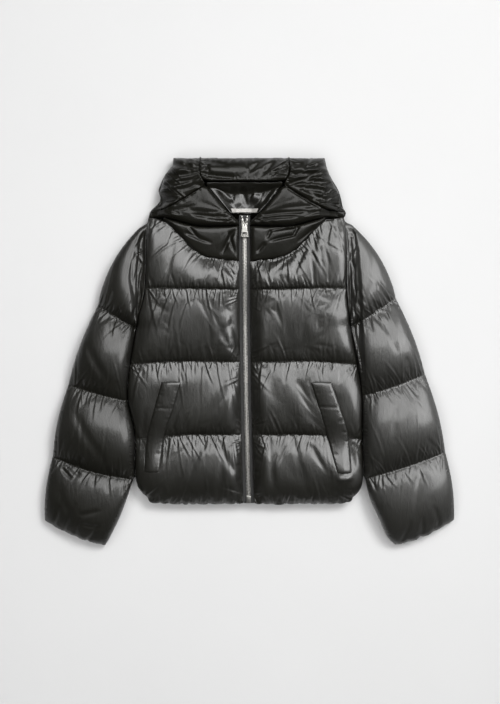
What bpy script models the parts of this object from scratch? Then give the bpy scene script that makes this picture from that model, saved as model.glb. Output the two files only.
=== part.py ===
"""Hooded puffer jacket, zipped up and laid flat on its back.

Metres, +Z up. The hood points to +Y, the wearer's right sleeve to -X, and the underside
rests on z = 0. Each cut and sewn piece is one closed solid, a small gap from the next.
"""
import math
from collections import namedtuple

import bmesh
import bpy
from mathutils import Vector

# --- driving dimensions -------------------------------------------------------------------

SEAM_GAP = 0.0004           # between two pieces along a seam
REST_GAP = 0.0003           # between a piece and what it lies on
BACK_INNER_Z = 0.0270       # inner face of the back
PAD_BASE_Z = 0.0300         # plain inner face of the fronts and the hood pads
BACK_LIP_WIDTH = 0.010      # side seam allowance that closes the slit between front and back

ZIP_TOP_X = -0.0098         # the zip leans a little to +X on its way down
ZIP_LEAN = 0.0296
ZIP_LEAN_FROM_Y = 0.2240
ZIP_HALF_TAPE = 0.0110      # half of the tape that shows between the fronts
ZIP_TOP_Y = 0.2720
ZIP_BOTTOM_Y = -0.3020
ZIP_RISE = 0.0155           # the filled collar lifts the top of the zip
ZIP_RISE_FROM_Y = 0.050
ZIP_RISE_TO_Y = 0.185
TAPE_THICK = 0.0011
CHAIN_HALF_WIDTH = 0.0038
CHAIN_THICK = 0.0032

SHOULDER_Y = 0.2665         # top edge of the body's panels
ARMPIT_Y = 0.0450
FRONT_LOFT = 0.0340
SEAM_ROLL = 0.034           # how far from a seam a baffle reaches its full loft
HEM_ROLL = 0.026
SIDE_ROLL = 0.030
ZIP_ROLL = 0.026
SIDE_LIP = 0.0035           # height of a front's edge over its inner face
ARMHOLE_LIP = 0.0180
NECK_LIP = 0.0160
ZIP_LIP = 0.0060
LEAST_LOFT = 0.0050         # a crease never cuts deeper than this
SLEEVE_COLUMNS = 32
FRONT_COLUMNS = 20
BAFFLE_ROWS = 6
SLEEVE_SLIT = 0.0030        # inner hollow of a flat sleeve
SLEEVE_WALL_SHARE = 0.14    # side walls' share of the sleeve's width
SLEEVE_GROOVE = 0.0050      # rise of the underside at a quilting seam
WING_BEND = 0.62            # where the hood's front edge turns down beside the face opening
HOOD_TOP_Y = 0.3900
HOOD_EDGE_INSET = 0.0035      # hood pads' outer edges, inside the layered base's edge
FACE_EDGE_Y = 0.3360        # front edge of the hood's crown

# --- shape tables, a row for each section, seam or fold -----------------------------------

SideEdge = namedtuple("SideEdge", "y right_x left_x")
BODY_SIDES = (              # armhole seams, then side seams, from shoulder to hem
    SideEdge(0.2700, -0.2030, 0.1890),
    SideEdge(0.2040, -0.2055, 0.1936),
    SideEdge(0.1260, -0.2076, 0.1930),
    SideEdge(0.0540, -0.2238, 0.2000),
    SideEdge(-0.0340, -0.2396, 0.2178),
    SideEdge(-0.0900, -0.2430, 0.2236),
    SideEdge(-0.1600, -0.2290, 0.2246),
    SideEdge(-0.2440, -0.2280, 0.2270),
    SideEdge(-0.2900, -0.2080, 0.2100),
)
HOOD_SIDES = (              # outer edge of the folded hood
    SideEdge(0.2670, -0.2020, 0.1880),
    SideEdge(0.2760, -0.2040, 0.1920),
    SideEdge(0.2920, -0.2010, 0.1880),
    SideEdge(0.3240, -0.1850, 0.1800),
    SideEdge(0.3560, -0.1690, 0.1640),
    SideEdge(0.3900, -0.1510, 0.1560),
)

CrossRow = namedtuple("CrossRow", "name side_y near_y middle_y inner_y lip")
FRONT_ROWS = (              # quilting seams across a front, from hem to chest
    CrossRow("hem", -0.2850, -0.2995, -0.3025, -0.3030, 0.008),
    CrossRow("seam_3", -0.1740, -0.1720, -0.1640, -0.1650, 0.013),
    CrossRow("seam_2", -0.0310, -0.0230, -0.0180, -0.0205, 0.013),
    CrossRow("seam_1", 0.1250, 0.1265, 0.1260, 0.1240, 0.013),
)

FromZip = namedtuple("FromZip", "distance y")
NECK_SEAM = (
    FromZip(0.011, 0.180), FromZip(0.059, 0.186), FromZip(0.083, 0.192), FromZip(0.105, 0.207),
    FromZip(0.133, 0.236), FromZip(0.155, 0.257), FromZip(0.171, 0.266), FromZip(0.215, 0.267),
)
WING_CREASE = (             # lower fold of the hood's front edges, over the collar
    FromZip(0.011, 0.251), FromZip(0.050, 0.249), FromZip(0.095, 0.250),
    FromZip(0.135, 0.260), FromZip(0.165, 0.2680), FromZip(0.190, 0.2690),
)
WING_SEAM = (               # upper edge of the hood's front edges
    FromZip(0.079, 0.327), FromZip(0.123, 0.300), FromZip(0.156, 0.283), FromZip(0.190, 0.2800),
)
CROWN_SEAM = (              # side seams of the crown, from the face opening upwards
    FromZip(0.0775, 0.326), FromZip(0.0800, 0.336), FromZip(0.0875, 0.350),
    FromZip(0.0880, 0.390),
)
FACE_OPENING = (            # slanted sides of the face opening
    FromZip(0.011, 0.262), FromZip(0.023, 0.278), FromZip(0.073, 0.330),
)

Ring = namedtuple("Ring", "name out_x out_y in_x in_y bow top_z edge_z slit_z puff")
RIGHT_SLEEVE = (            # quilting seams round the sleeve; puff is the loft below each
    Ring("head", -0.2055, 0.2620, None, 0.0660, 0.000, 0.050, 0.026, 0.0285, 0.022),
    Ring("seam_1", -0.3030, 0.0960, None, 0.0480, 0.003, 0.044, 0.022, 0.0240, 0.038),
    Ring("seam_2", -0.3630, -0.0640, None, -0.0980, 0.002, 0.042, 0.021, 0.0220, 0.040),
    Ring("seam_3", -0.3950, -0.2080, None, -0.2540, 0.007, 0.040, 0.020, 0.0210, 0.036),
    Ring("cuff", -0.4120, -0.3390, -0.2890, -0.3890, 0.003, 0.030, 0.014, 0.0150, 0.000),
)
LEFT_SLEEVE = (
    Ring("head", 0.1915, 0.2655, None, 0.0660, 0.000, 0.050, 0.026, 0.0285, 0.022),
    Ring("seam_1", 0.2930, 0.1080, None, 0.0500, 0.002, 0.044, 0.022, 0.0240, 0.038),
    Ring("seam_2", 0.3520, -0.0440, None, -0.0880, 0.002, 0.042, 0.021, 0.0220, 0.040),
    Ring("seam_3", 0.3930, -0.2000, None, -0.2520, 0.002, 0.040, 0.020, 0.0210, 0.036),
    Ring("cuff", 0.4120, -0.3380, 0.2930, -0.3880, 0.003, 0.030, 0.014, 0.0150, 0.000),
)
SleeveSide = namedtuple("SleeveSide", "y right_x left_x")
LOWER_SLEEVE_SIDES = (      # inner edges below the body's sides
    SleeveSide(-0.2520, -0.2305, 0.2300),
    SleeveSide(-0.2900, -0.2430, 0.2385),
    SleeveSide(-0.3320, -0.2590, 0.2570),
    SleeveSide(-0.3700, -0.2780, 0.2750),
    SleeveSide(-0.3900, -0.2890, 0.2930),
)
SHOULDER_ROUND = 0.016      # how far the sleeve head rounds out past its seams
BAFFLE_ROUND = 0.004

Fold = namedtuple("Fold", "x0 y0 x1 y1 width depth")
BODY_FOLDS = (
    Fold(0.104, 0.216, 0.028, 0.163, 0.009, 0.008),
    Fold(0.112, 0.205, 0.082, 0.138, 0.008, 0.007),
    Fold(0.132, 0.236, 0.124, 0.140, 0.008, 0.007),
    Fold(0.158, 0.250, 0.152, 0.150, 0.008, 0.006),
    Fold(-0.062, 0.180, -0.050, 0.132, 0.008, 0.005),
    Fold(-0.048, 0.170, -0.020, 0.140, 0.008, 0.006),
    Fold(-0.150, 0.215, -0.165, 0.140, 0.009, 0.006),
    Fold(-0.185, 0.115, -0.150, 0.030, 0.010, 0.005),
    Fold(-0.100, 0.118, -0.070, 0.060, 0.009, 0.004),
    Fold(-0.030, 0.060, -0.085, 0.000, 0.010, 0.005),
    Fold(0.040, 0.120, 0.065, 0.050, 0.009, 0.005),
    Fold(0.165, 0.118, 0.130, 0.020, 0.010, 0.006),
    Fold(-0.030, -0.060, -0.085, -0.140, 0.010, 0.005),
    Fold(0.030, -0.030, 0.060, -0.110, 0.009, 0.005),
    Fold(-0.090, -0.178, -0.120, -0.250, 0.009, 0.005),
    Fold(-0.045, -0.180, -0.060, -0.285, 0.009, 0.005),
    Fold(0.045, -0.180, 0.055, -0.280, 0.009, 0.005),
)
SLEEVE_FOLDS = (
    Fold(-0.222, 0.235, -0.235, 0.120, 0.008, 0.007),
    Fold(-0.240, 0.215, -0.262, 0.105, 0.008, 0.006),
    Fold(-0.315, 0.050, -0.262, -0.055, 0.009, 0.007),
    Fold(-0.350, -0.090, -0.275, -0.220, 0.009, 0.007),
    Fold(-0.380, -0.250, -0.320, -0.340, 0.010, 0.006),
    Fold(0.206, 0.240, 0.225, 0.110, 0.008, 0.007),
    Fold(0.228, 0.220, 0.252, 0.110, 0.008, 0.006),
    Fold(0.270, 0.085, 0.285, 0.010, 0.009, 0.006),
    Fold(0.300, 0.060, 0.318, -0.030, 0.009, 0.006),
    Fold(0.340, -0.080, 0.330, -0.180, 0.010, 0.005),
    Fold(0.330, -0.230, 0.300, -0.330, 0.010, 0.006),
)
HOOD_FOLDS = (
    Fold(-0.200, 0.292, -0.110, 0.322, 0.006, 0.012),
    Fold(-0.195, 0.312, -0.100, 0.334, 0.006, 0.013),
    Fold(-0.185, 0.330, -0.105, 0.345, 0.006, 0.012),
    Fold(-0.178, 0.346, -0.110, 0.356, 0.006, 0.010),
    Fold(-0.125, 0.388, -0.118, 0.350, 0.006, 0.009),
    Fold(0.190, 0.292, 0.115, 0.306, 0.006, 0.012),
    Fold(0.185, 0.310, 0.090, 0.326, 0.006, 0.013),
    Fold(0.180, 0.330, 0.080, 0.338, 0.006, 0.013),
    Fold(0.172, 0.348, 0.090, 0.350, 0.006, 0.011),
    Fold(0.125, 0.388, 0.112, 0.362, 0.006, 0.009),
    Fold(0.068, 0.385, 0.020, 0.345, 0.007, 0.008),
    Fold(0.050, 0.388, -0.010, 0.350, 0.007, 0.006),
    Fold(-0.080, 0.352, -0.020, 0.344, 0.007, 0.007),
    Fold(-0.120, 0.272, -0.030, 0.268, 0.005, 0.006),
    Fold(0.100, 0.276, 0.015, 0.266, 0.005, 0.006),
    Fold(-0.125, 0.236, -0.070, 0.215, 0.006, 0.006),
    Fold(-0.030, 0.240, -0.055, 0.192, 0.006, 0.008),
    Fold(0.100, 0.246, 0.038, 0.232, 0.006, 0.008),
)

PocketEnd = namedtuple("PocketEnd", "y outer_x inner_x")
RIGHT_POCKET = (            # padded welt, from its lower end to its top
    PocketEnd(-0.238, -0.2090, -0.1790),
    PocketEnd(-0.168, -0.2030, -0.1690),
    PocketEnd(-0.110, -0.1880, -0.1500),
    PocketEnd(-0.060, -0.1740, -0.1360),
)
LEFT_POCKET = (
    PocketEnd(-0.240, 0.2030, 0.1730),
    PocketEnd(-0.166, 0.1960, 0.1540),
    PocketEnd(-0.110, 0.1790, 0.1370),
    PocketEnd(-0.060, 0.1620, 0.1210),
)
POCKET_LOFT = 0.0095

SLIDER_TOP_Y = 0.2650
SLIDER_LENGTH = 0.0250
SLIDER_TOP_WIDTH = 0.0150
SLIDER_LOW_WIDTH = 0.0112
SLIDER_PLATE = 0.0030
BAIL_RADIUS = 0.0022
BAIL_WIRE = 0.0007
BAIL_LIFT = 0.0010          # bail ring's centre above the slider's plate
PIN_LIFT = 0.0012           # hinge axis above the slider's plate
PIN_RADIUS = 0.0008
PULLER_Y = 0.2540           # hinge axis
PULLER_LENGTH = 0.0260
PULLER_TOP_WIDTH = 0.0056
PULLER_LOW_WIDTH = 0.0140
PULLER_THICK = 0.0018

LABEL_TOP_WIDTH = 0.0520
LABEL_LOW_WIDTH = 0.0400
LABEL_HEIGHT = 0.0090
LABEL_THICK = 0.0010
LABEL_Y = 0.2812
INSIDE_LOFT = 0.0150        # hood's back, as it shows in the face opening
INSIDE_CLEAR = 0.0015

NYLON = (0.030, 0.029, 0.027)
NYLON_INSIDE = (0.024, 0.023, 0.022)
TAPE_BLACK = (0.020, 0.020, 0.020)
STEEL = (0.62, 0.61, 0.58)
LABEL_WHITE = (0.80, 0.80, 0.78)


# --- small helpers ------------------------------------------------------------------------

def mix(a, b, t):
    return a + (b - a) * t


def clamp(value, low=0.0, high=1.0):
    return max(low, min(high, value))


def ease(t):
    """Smooth step from 0 to 1."""
    t = clamp(t)
    return t * t * (3.0 - 2.0 * t)


def round_over(t):
    """Quarter ellipse: 0 at a seam, 1 where the roll is full."""
    t = clamp(t)
    return math.sqrt(max(0.0, 1.0 - (1.0 - t) ** 2))


def smooth_read(places, values, at):
    """Value at a place on the smooth curve through a short table."""
    if places[0] > places[-1]:
        places = places[::-1]
        values = values[::-1]
    at = clamp(at, places[0], places[-1])
    last = len(places) - 2
    i = 0
    while i < last and at > places[i + 1]:
        i += 1
    span = places[i + 1] - places[i]
    t = (at - places[i]) / span

    def slope(k):
        a = max(k - 1, 0)
        b = min(k + 1, len(places) - 1)
        return (values[b] - values[a]) / (places[b] - places[a])

    t2, t3 = t * t, t * t * t
    start = (2 * t3 - 3 * t2 + 1) * values[i] + (t3 - 2 * t2 + t) * span * slope(i)
    end = (3 * t2 - 2 * t3) * values[i + 1] + (t3 - t2) * span * slope(i + 1)
    return start + end


def side_x(table, side, y):
    """X of a side table's edge at height y; side is -1 for the wearer's right."""
    column = "right_x" if side < 0 else "left_x"
    return smooth_read([row.y for row in table], [getattr(row, column) for row in table], y)


def zip_line(table, distance):
    return smooth_read([row.distance for row in table], [row.y for row in table], distance)


def zip_x(y):
    return ZIP_TOP_X + ZIP_LEAN * max(0.0, ZIP_LEAN_FROM_Y - y) ** 2


def zip_rise(y):
    return ZIP_RISE * ease((y - ZIP_RISE_FROM_Y) / (ZIP_RISE_TO_Y - ZIP_RISE_FROM_Y))


def fold_drop(folds, x, y):
    """Depth of the creases at a place: soft troughs that fade at both ends."""
    drop = 0.0
    for fold in folds:
        along_x, along_y = fold.x1 - fold.x0, fold.y1 - fold.y0
        length = math.hypot(along_x, along_y)
        t = ((x - fold.x0) * along_x + (y - fold.y0) * along_y) / length ** 2
        off = abs((x - fold.x0) * along_y - (y - fold.y0) * along_x) / length
        if -0.15 < t < 1.15 and off < 3.0 * fold.width:
            fade = ease((t + 0.15) / 0.35) * ease((1.15 - t) / 0.35)
            drop += fold.depth * fade * math.exp(-(off / fold.width) ** 2)
    return drop


def pucker(column, seam_distance, reach, depth):
    """Gathers that stand square to a seam, crest and trough in turn, fading away from it."""
    uneven = 0.75 + 0.25 * math.sin(2.3 * column + 1.1)
    turn = -1.0 if column % 2 else 1.0
    return depth * uneven * turn * math.exp(-seam_distance / reach)


# --- mesh and material helpers ------------------------------------------------------------

def material(name, colour, roughness, metallic=0.0):
    finish = bpy.data.materials.get(name)
    if finish is None:
        finish = bpy.data.materials.new(name)
        finish.use_nodes = True
        shader = finish.node_tree.nodes["Principled BSDF"]
        shader.inputs["Base Color"].default_value = (*colour, 1.0)
        shader.inputs["Roughness"].default_value = roughness
        shader.inputs["Metallic"].default_value = metallic
    return finish


def new_collection(name):
    group = bpy.data.collections.new(name)
    bpy.context.scene.collection.children.link(group)
    return group


def keep(bm, name, finish, group, smooth=True):
    """Close a bmesh into a named object of the jacket."""
    bmesh.ops.recalc_face_normals(bm, faces=bm.faces[:])
    mesh = bpy.data.meshes.new(name)
    bm.to_mesh(mesh)
    bm.free()
    if smooth:
        mesh.shade_smooth()
        mesh.set_sharp_from_angle(angle=math.radians(50))
    mesh.materials.append(finish)
    piece = bpy.data.objects.new(name, mesh)
    group.objects.link(piece)
    return piece


def pad(name, columns, rows, shape, finish, group, base_z=PAD_BASE_Z):
    """A padded piece: a grid shaped by shape(u, v) on top, over one plain inner face."""
    bm = bmesh.new()
    bmesh.ops.create_grid(bm, x_segments=columns, y_segments=rows, size=0.5)
    for vert in bm.verts:
        vert.co = Vector(shape(vert.co.x + 0.5, vert.co.y + 0.5))
    extruded = bmesh.ops.extrude_face_region(bm, geom=bm.faces[:])["geom"]
    lower = [item for item in extruded if isinstance(item, bmesh.types.BMFace)]
    for item in extruded:
        if isinstance(item, bmesh.types.BMVert):
            item.co.z = base_z
    bmesh.ops.dissolve_faces(bm, faces=lower)
    bent = [face for face in bm.faces if len(face.verts) == 4]
    bmesh.ops.triangulate(bm, faces=bent, quad_method="SHORT_EDGE")
    return keep(bm, name, finish, group)


def edge_blend(height, edges):
    """Loft of a pad that rolls down to a lip along each edge: (distance, roll, lip)."""
    share, lip_sum, weight_sum = 1.0, 0.0, 0.0
    for distance, roll, lip in edges:
        s = round_over(distance / roll)
        share *= s
        weight = (1.0 - s) + 1e-6
        weight_sum += weight
        lip_sum += weight * lip
    lip = lip_sum / weight_sum
    return lip + (height - lip) * share


# --- the body -----------------------------------------------------------------------------

def front_row_y(row, u):
    return smooth_read([0.0, 0.12, 0.5, 1.0],
                       [row.side_y, row.near_y, row.middle_y, row.inner_y], u)


def front_place(side, u, row_y, is_neck):
    """Plan position on a front's cross row; u runs from the side edge to the zip."""
    side_end_y = SHOULDER_Y if is_neck else row_y(0.0)
    outer_x = side_x(BODY_SIDES, side, side_end_y) - side * SEAM_GAP
    inner_y = row_y(1.0)
    inner_x = zip_x(inner_y) + side * ZIP_HALF_TAPE
    x = mix(outer_x, inner_x, u)
    if is_neck:
        return x, zip_line(NECK_SEAM, abs(x - ZIP_TOP_X)) - SEAM_GAP
    return x, row_y(u)


def front_shape(side):
    seams = [(lambda u, row=row: front_row_y(row, u)) for row in FRONT_ROWS]
    seams.append(lambda u: zip_line(NECK_SEAM, ZIP_HALF_TAPE))
    lips = [row.lip for row in FRONT_ROWS] + [NECK_LIP]
    baffles = len(seams) - 1

    def shape(u, v):
        level = min(v * baffles, baffles - 1e-9)
        k = int(level)
        t = level - k
        x0, y0 = front_place(side, u, seams[k], False)
        x1, y1 = front_place(side, u, seams[k + 1], k + 1 == baffles)
        x, y = mix(x0, x1, t), mix(y0, y1, t)
        edge_x = side_x(BODY_SIDES, side, y) - side * SEAM_GAP
        x = mix(edge_x, x, ease(u * 4.0)) if u < 0.25 else x
        length = math.hypot(x1 - x0, y1 - y0)
        width = abs(zip_x(y) - edge_x)
        down, up = t * length, (1.0 - t) * length
        armhole = ease((y - ARMPIT_Y) / 0.03) * ease((SHOULDER_Y + 0.005 - y) / 0.04)
        z = edge_blend(FRONT_LOFT, (
            (down, SEAM_ROLL if k else HEM_ROLL, lips[k]),
            (up, SEAM_ROLL, lips[k + 1]),
            (u * width, SIDE_ROLL, mix(SIDE_LIP, ARMHOLE_LIP, armhole)),
            ((1.0 - u) * width, ZIP_ROLL, ZIP_LIP + zip_rise(y)),
        ))
        column = round(u * FRONT_COLUMNS)
        if 0 < column < FRONT_COLUMNS:
            z += pucker(column, down, 0.016, 0.0026) + pucker(column, up, 0.012, 0.0020)
        if 0.0 < u < 1.0 and 0.0 < v < 1.0:
            z = max(z - fold_drop(BODY_FOLDS, x, y), LEAST_LOFT)
        return x, y, PAD_BASE_Z + z

    return shape


def front(name, side, finish, group):
    rows = (len(FRONT_ROWS)) * BAFFLE_ROWS
    return pad(name, FRONT_COLUMNS, rows, front_shape(side), finish, group)


def back_outline():
    """Points round the back: hem, left side, top edge, right side."""
    places = []
    hem_points, side_points, top_points = 18, 22, 8
    hem = FRONT_ROWS[0]
    corner = hem.side_y
    for i in range(hem_points):
        x = mix(side_x(BODY_SIDES, -1, corner), side_x(BODY_SIDES, 1, corner), i / hem_points)
        from_side = min(i, hem_points - i) / hem_points
        gather = 0.0012 * (1 if i % 2 else -1) if i else 0.0
        places.append((x, front_row_y(hem, min(1.0, 2.0 * from_side)) + gather))
    for side, start, end in ((1, corner, SHOULDER_Y), (-1, SHOULDER_Y, corner)):
        for i in range(side_points):
            y = mix(start, end, i / side_points)
            places.append((side_x(BODY_SIDES, side, y) - side * SEAM_GAP, y))
        if side > 0:
            for i in range(top_points):
                t = i / top_points
                x = mix(side_x(BODY_SIDES, 1, SHOULDER_Y), side_x(BODY_SIDES, -1, SHOULDER_Y), t)
                places.append((x - (0.0 if i else SEAM_GAP), SHOULDER_Y))
    return places


def seam_pinch(y):
    """1 on a quilting seam at the body's side, fading to 0 between seams."""
    seams = [row.side_y for row in FRONT_ROWS[1:]]
    return sum(math.exp(-((y - seam) / 0.016) ** 2) for seam in seams)


def inset_loop(places, amount):
    """The outline moved inwards by amount(y) along its own normals."""
    count = len(places)
    moved = []
    for i, (x, y) in enumerate(places):
        before, after = places[i - 1], places[(i + 1) % count]
        along = Vector((after[0] - before[0], after[1] - before[1])).normalized()
        distance = amount(y)
        moved.append((x - along.y * distance, y + along.x * distance))
    return moved


def stacked(name, places, levels, finish, group):
    """A flat-lying solid: one outline, stacked at several heights with its own insets."""
    bm = bmesh.new()
    loops = []
    for z, amount in levels:
        ring = bmesh.ops.create_circle(bm, segments=len(places), radius=0.1)["verts"]
        for vert, (x, y) in zip(ring, inset_loop(places, amount)):
            vert.co = Vector((x, y, z))
        loops.append(ring)
    for lower, upper in zip(loops, loops[1:]):
        edges = [edge for ring in (lower, upper) for vert in ring for edge in vert.link_edges
                 if edge.other_vert(vert) in set(ring)]
        bmesh.ops.bridge_loops(bm, edges=list(dict.fromkeys(edges)))
    for ring in (loops[0], loops[-1]):
        bmesh.ops.contextual_create(bm, geom=ring)
    return keep(bm, name, finish, group)


def back(name, finish, group):
    lip_z = PAD_BASE_Z - REST_GAP
    levels = (
        (0.0, lambda y: 0.015 + 0.004 * seam_pinch(y)),
        (0.0045, lambda y: 0.004 + 0.005 * seam_pinch(y)),
        (0.0130, lambda y: 0.0 + 0.003 * seam_pinch(y)),
        (0.0220, lambda y: 0.0006 + 0.003 * seam_pinch(y)),
        (lip_z, lambda y: 0.0030 + 0.002 * seam_pinch(y)),
    )
    piece = stacked(name, back_outline(), levels, finish, group)
    bm = bmesh.new()
    bm.from_mesh(piece.data)
    top = [face for face in bm.faces if min(v.co.z for v in face.verts) > lip_z - 0.0001]
    bmesh.ops.inset_region(bm, faces=top, thickness=BACK_LIP_WIDTH, use_even_offset=True)
    for vert in {v for face in top for v in face.verts}:
        vert.co.z = BACK_INNER_Z
    for vert in bm.verts:
        if abs(vert.co.z - lip_z) < 0.0001 and vert.co.y < FRONT_ROWS[0].near_y:
            vert.co.z = BACK_INNER_Z
    bm.to_mesh(piece.data)
    bm.free()
    return piece


# --- sleeves ------------------------------------------------------------------------------

def sleeve_inner_x(side, y):
    """Inner edge of a sleeve: along the body's side, then free below it."""
    table = BODY_SIDES if y > LOWER_SLEEVE_SIDES[0].y else LOWER_SLEEVE_SIDES
    return side_x(table, side, y) + side * SEAM_GAP


def sleeve_station(side, rings, level):
    """Section of a sleeve at a level counted in seams: its two edges and its heights."""
    k = min(int(level), len(rings) - 2)
    t = level - k
    a, b = rings[k], rings[k + 1]
    out_x, out_y = mix(a.out_x, b.out_x, t), mix(a.out_y, b.out_y, t)
    along = Vector((b.out_x - a.out_x, b.out_y - a.out_y)).normalized()
    arch = math.sin(math.pi * t) if 0.0 < t < 1.0 else 0.0
    outward = SHOULDER_ROUND * arch ** 0.8 if k == 0 else BAFFLE_ROUND * arch
    out_x += side * abs(along.y) * outward
    out_y += abs(along.x) * outward
    in_y = mix(a.in_y, b.in_y, t)
    swell = arch ** 0.6
    top = mix(a.top_z, b.top_z, t) + a.puff * swell
    edge = mix(a.edge_z, b.edge_z, t) + 0.010 * swell
    length = math.hypot(b.out_x - a.out_x, b.out_y - a.out_y)
    return {
        "out": (out_x, out_y),
        "in": (sleeve_inner_x(side, in_y), in_y),
        "bow": mix(a.bow, b.bow, t),
        "top": top,
        "edge": edge,
        "groove": SLEEVE_GROOVE * (1.0 - swell),
        "slit": mix(a.slit_z, b.slit_z, t),
        "from_seam": min(t, 1.0 - t) * length,
        "is_head": k == 0 and t < 1e-6,
        "squareness": mix(0.62, 0.80, swell),
    }


def sleeve_plan(side, station, across):
    """Plan position across a station, 0 at the outer edge and 1 at the inner one."""
    (ox, oy), (ix, iy) = station["out"], station["in"]
    y = mix(oy, iy, across) - station["bow"] * math.sin(math.pi * across)
    if station["is_head"]:
        return side_x(BODY_SIDES, side, y) + side * SEAM_GAP, y
    return mix(ox, ix, across), y


def sleeve(name, side, rings, finish, group):
    outer_levels = [i / 6.0 for i in range(6 * (len(rings) - 1) + 1)]
    inner_levels = [float(i) for i in range(len(rings) - 1, -1, -1)]
    stations = [(level, True) for level in outer_levels] + [(level, False) for level in inner_levels]
    half = SLEEVE_COLUMNS // 2

    def shape(around, along):
        step = round(around * SLEEVE_COLUMNS) % SLEEVE_COLUMNS
        level, is_outer = stations[round(along * len(stations)) % len(stations)]
        station = sleeve_station(side, rings, level)
        is_top = step <= half
        turn = step / half if is_top else (SLEEVE_COLUMNS - step) / half
        across = 0.5 - 0.5 * math.cos(math.pi * turn)
        rise = math.sin(math.pi * turn)
        if not is_outer:
            inside = mix(SLEEVE_WALL_SHARE, 1.0 - SLEEVE_WALL_SHARE, across)
            x, y = sleeve_plan(side, station, inside)
            lift = SLEEVE_SLIT / 2 * math.sqrt(rise)
            return x, y, station["slit"] + (lift if is_top else -lift)
        x, y = sleeve_plan(side, station, across)
        power = station["squareness"]
        if not is_top:
            sink = min(1.0, 1.3 * rise ** power)
            return x, y, mix(station["edge"], station["groove"], sink)
        z = mix(station["edge"], station["top"], rise ** power)
        if 1 < step < half - 1 and level > 0.5:
            z += pucker(step, station["from_seam"], 0.014, 0.0028) * rise
        if level not in (0.0, float(len(rings) - 1)):
            z -= fold_drop(SLEEVE_FOLDS, x, y) * rise
        return x, y, z

    bm = bmesh.new()
    bmesh.ops.create_grid(bm, x_segments=SLEEVE_COLUMNS, y_segments=len(stations), size=0.5)
    for vert in bm.verts:
        vert.co = Vector(shape(vert.co.x + 0.5, vert.co.y + 0.5))
    bmesh.ops.remove_doubles(bm, verts=bm.verts[:], dist=0.00001)
    return keep(bm, name, finish, group)


# --- hood and collar ----------------------------------------------------------------------

def hood_back(name, finish, group):
    """The folded hood's hidden layers as one solid, its edge layered."""
    places = []
    low_y, steps = SHOULDER_Y + 0.001, 9
    places += [(mix(side_x(HOOD_SIDES, -1, low_y), side_x(HOOD_SIDES, 1, low_y), i / 10), low_y)
               for i in range(10)]
    places += [(side_x(HOOD_SIDES, 1, mix(low_y, HOOD_TOP_Y, i / steps)),
                mix(low_y, HOOD_TOP_Y, i / steps)) for i in range(steps)]
    places += [(mix(side_x(HOOD_SIDES, 1, HOOD_TOP_Y), side_x(HOOD_SIDES, -1, HOOD_TOP_Y), i / 10),
                HOOD_TOP_Y) for i in range(10)]
    places += [(side_x(HOOD_SIDES, -1, mix(HOOD_TOP_Y, low_y, i / steps)),
                mix(HOOD_TOP_Y, low_y, i / steps)) for i in range(steps)]

    def rolled(amount):
        return lambda y: amount * ease((y - low_y) / 0.010)

    levels = ((0.0, rolled(0.012)), (0.004, rolled(0.003)), (0.009, rolled(0.0010)),
              (0.0145, rolled(0.0055)), (0.020, rolled(0.0010)), (0.0255, rolled(0.0015)),
              (PAD_BASE_Z - REST_GAP, rolled(0.0050)))
    return stacked(name, places, levels, finish, group)


def hood_pad(name, columns, rows, place, loft, rolls, finish, group, base_z=PAD_BASE_Z):
    """A pad whose plan is place(u, v).

    rolls holds (roll width, lip height) for the lower, upper, first and last edges.
    """
    def reach(start, end):
        return math.hypot(end[0] - start[0], end[1] - start[1])

    def shape(u, v):
        x, y = place(u, v)
        span = reach(place(u, 0.0), place(u, 1.0))
        width = reach(place(0.0, v), place(1.0, v))
        distances = (v * span, (1.0 - v) * span, u * width, (1.0 - u) * width)
        z = edge_blend(loft, [(d, roll, lip) for d, (roll, lip) in zip(distances, rolls)])
        if 0.0 < u < 1.0 and 0.0 < v < 1.0:
            z = max(z - fold_drop(HOOD_FOLDS, x, y), LEAST_LOFT)
        return x, y, base_z + z

    return pad(name, columns, rows, shape, finish, group, base_z)


def between_edges(lower, upper):
    """Plan of a pad from its lower and upper edge curves."""
    def place(u, v):
        (x0, y0), (x1, y1) = lower(u), upper(u)
        return mix(x0, x1, v), mix(y0, y1, v)

    return place


def crown_seam(y):
    """Distance of the crown's side seams from the zip line."""
    return smooth_read([row.y for row in CROWN_SEAM], [row.distance for row in CROWN_SEAM], y)


def hood_crown(name, finish, group):
    def place(u, v):
        low_y = FACE_EDGE_Y + 0.004 * abs(2.0 * u - 1.0) ** 4
        y = mix(low_y, HOOD_TOP_Y - HOOD_EDGE_INSET, v)
        half = crown_seam(y) - SEAM_GAP
        return ZIP_TOP_X + mix(-half, half, u), y

    rolls = ((0.016, 0.012), (0.034, 0.005), (0.014, 0.030), (0.014, 0.030))
    return hood_pad(name, 14, 7, place, 0.048, rolls, finish, group)


def hood_side(name, side, finish, group):
    def across(u, y):
        outer = side_x(HOOD_SIDES, side, y) - side * HOOD_EDGE_INSET
        inner = ZIP_TOP_X + side * (crown_seam(y) + SEAM_GAP)
        return mix(outer, inner, u)

    def place(u, v):
        low_y = zip_line(WING_SEAM, mix(0.190, 0.079, u))
        for _ in range(4):
            low_y = zip_line(WING_SEAM, abs(across(u, low_y) - ZIP_TOP_X)) + 2 * SEAM_GAP
        y = mix(low_y, HOOD_TOP_Y - HOOD_EDGE_INSET, v)
        return across(u, y), y

    rolls = ((0.012, 0.034), (0.034, 0.005), (0.036, 0.005), (0.014, 0.030))
    return hood_pad(name, 12, 16, place, 0.055, rolls, finish, group)


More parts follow.
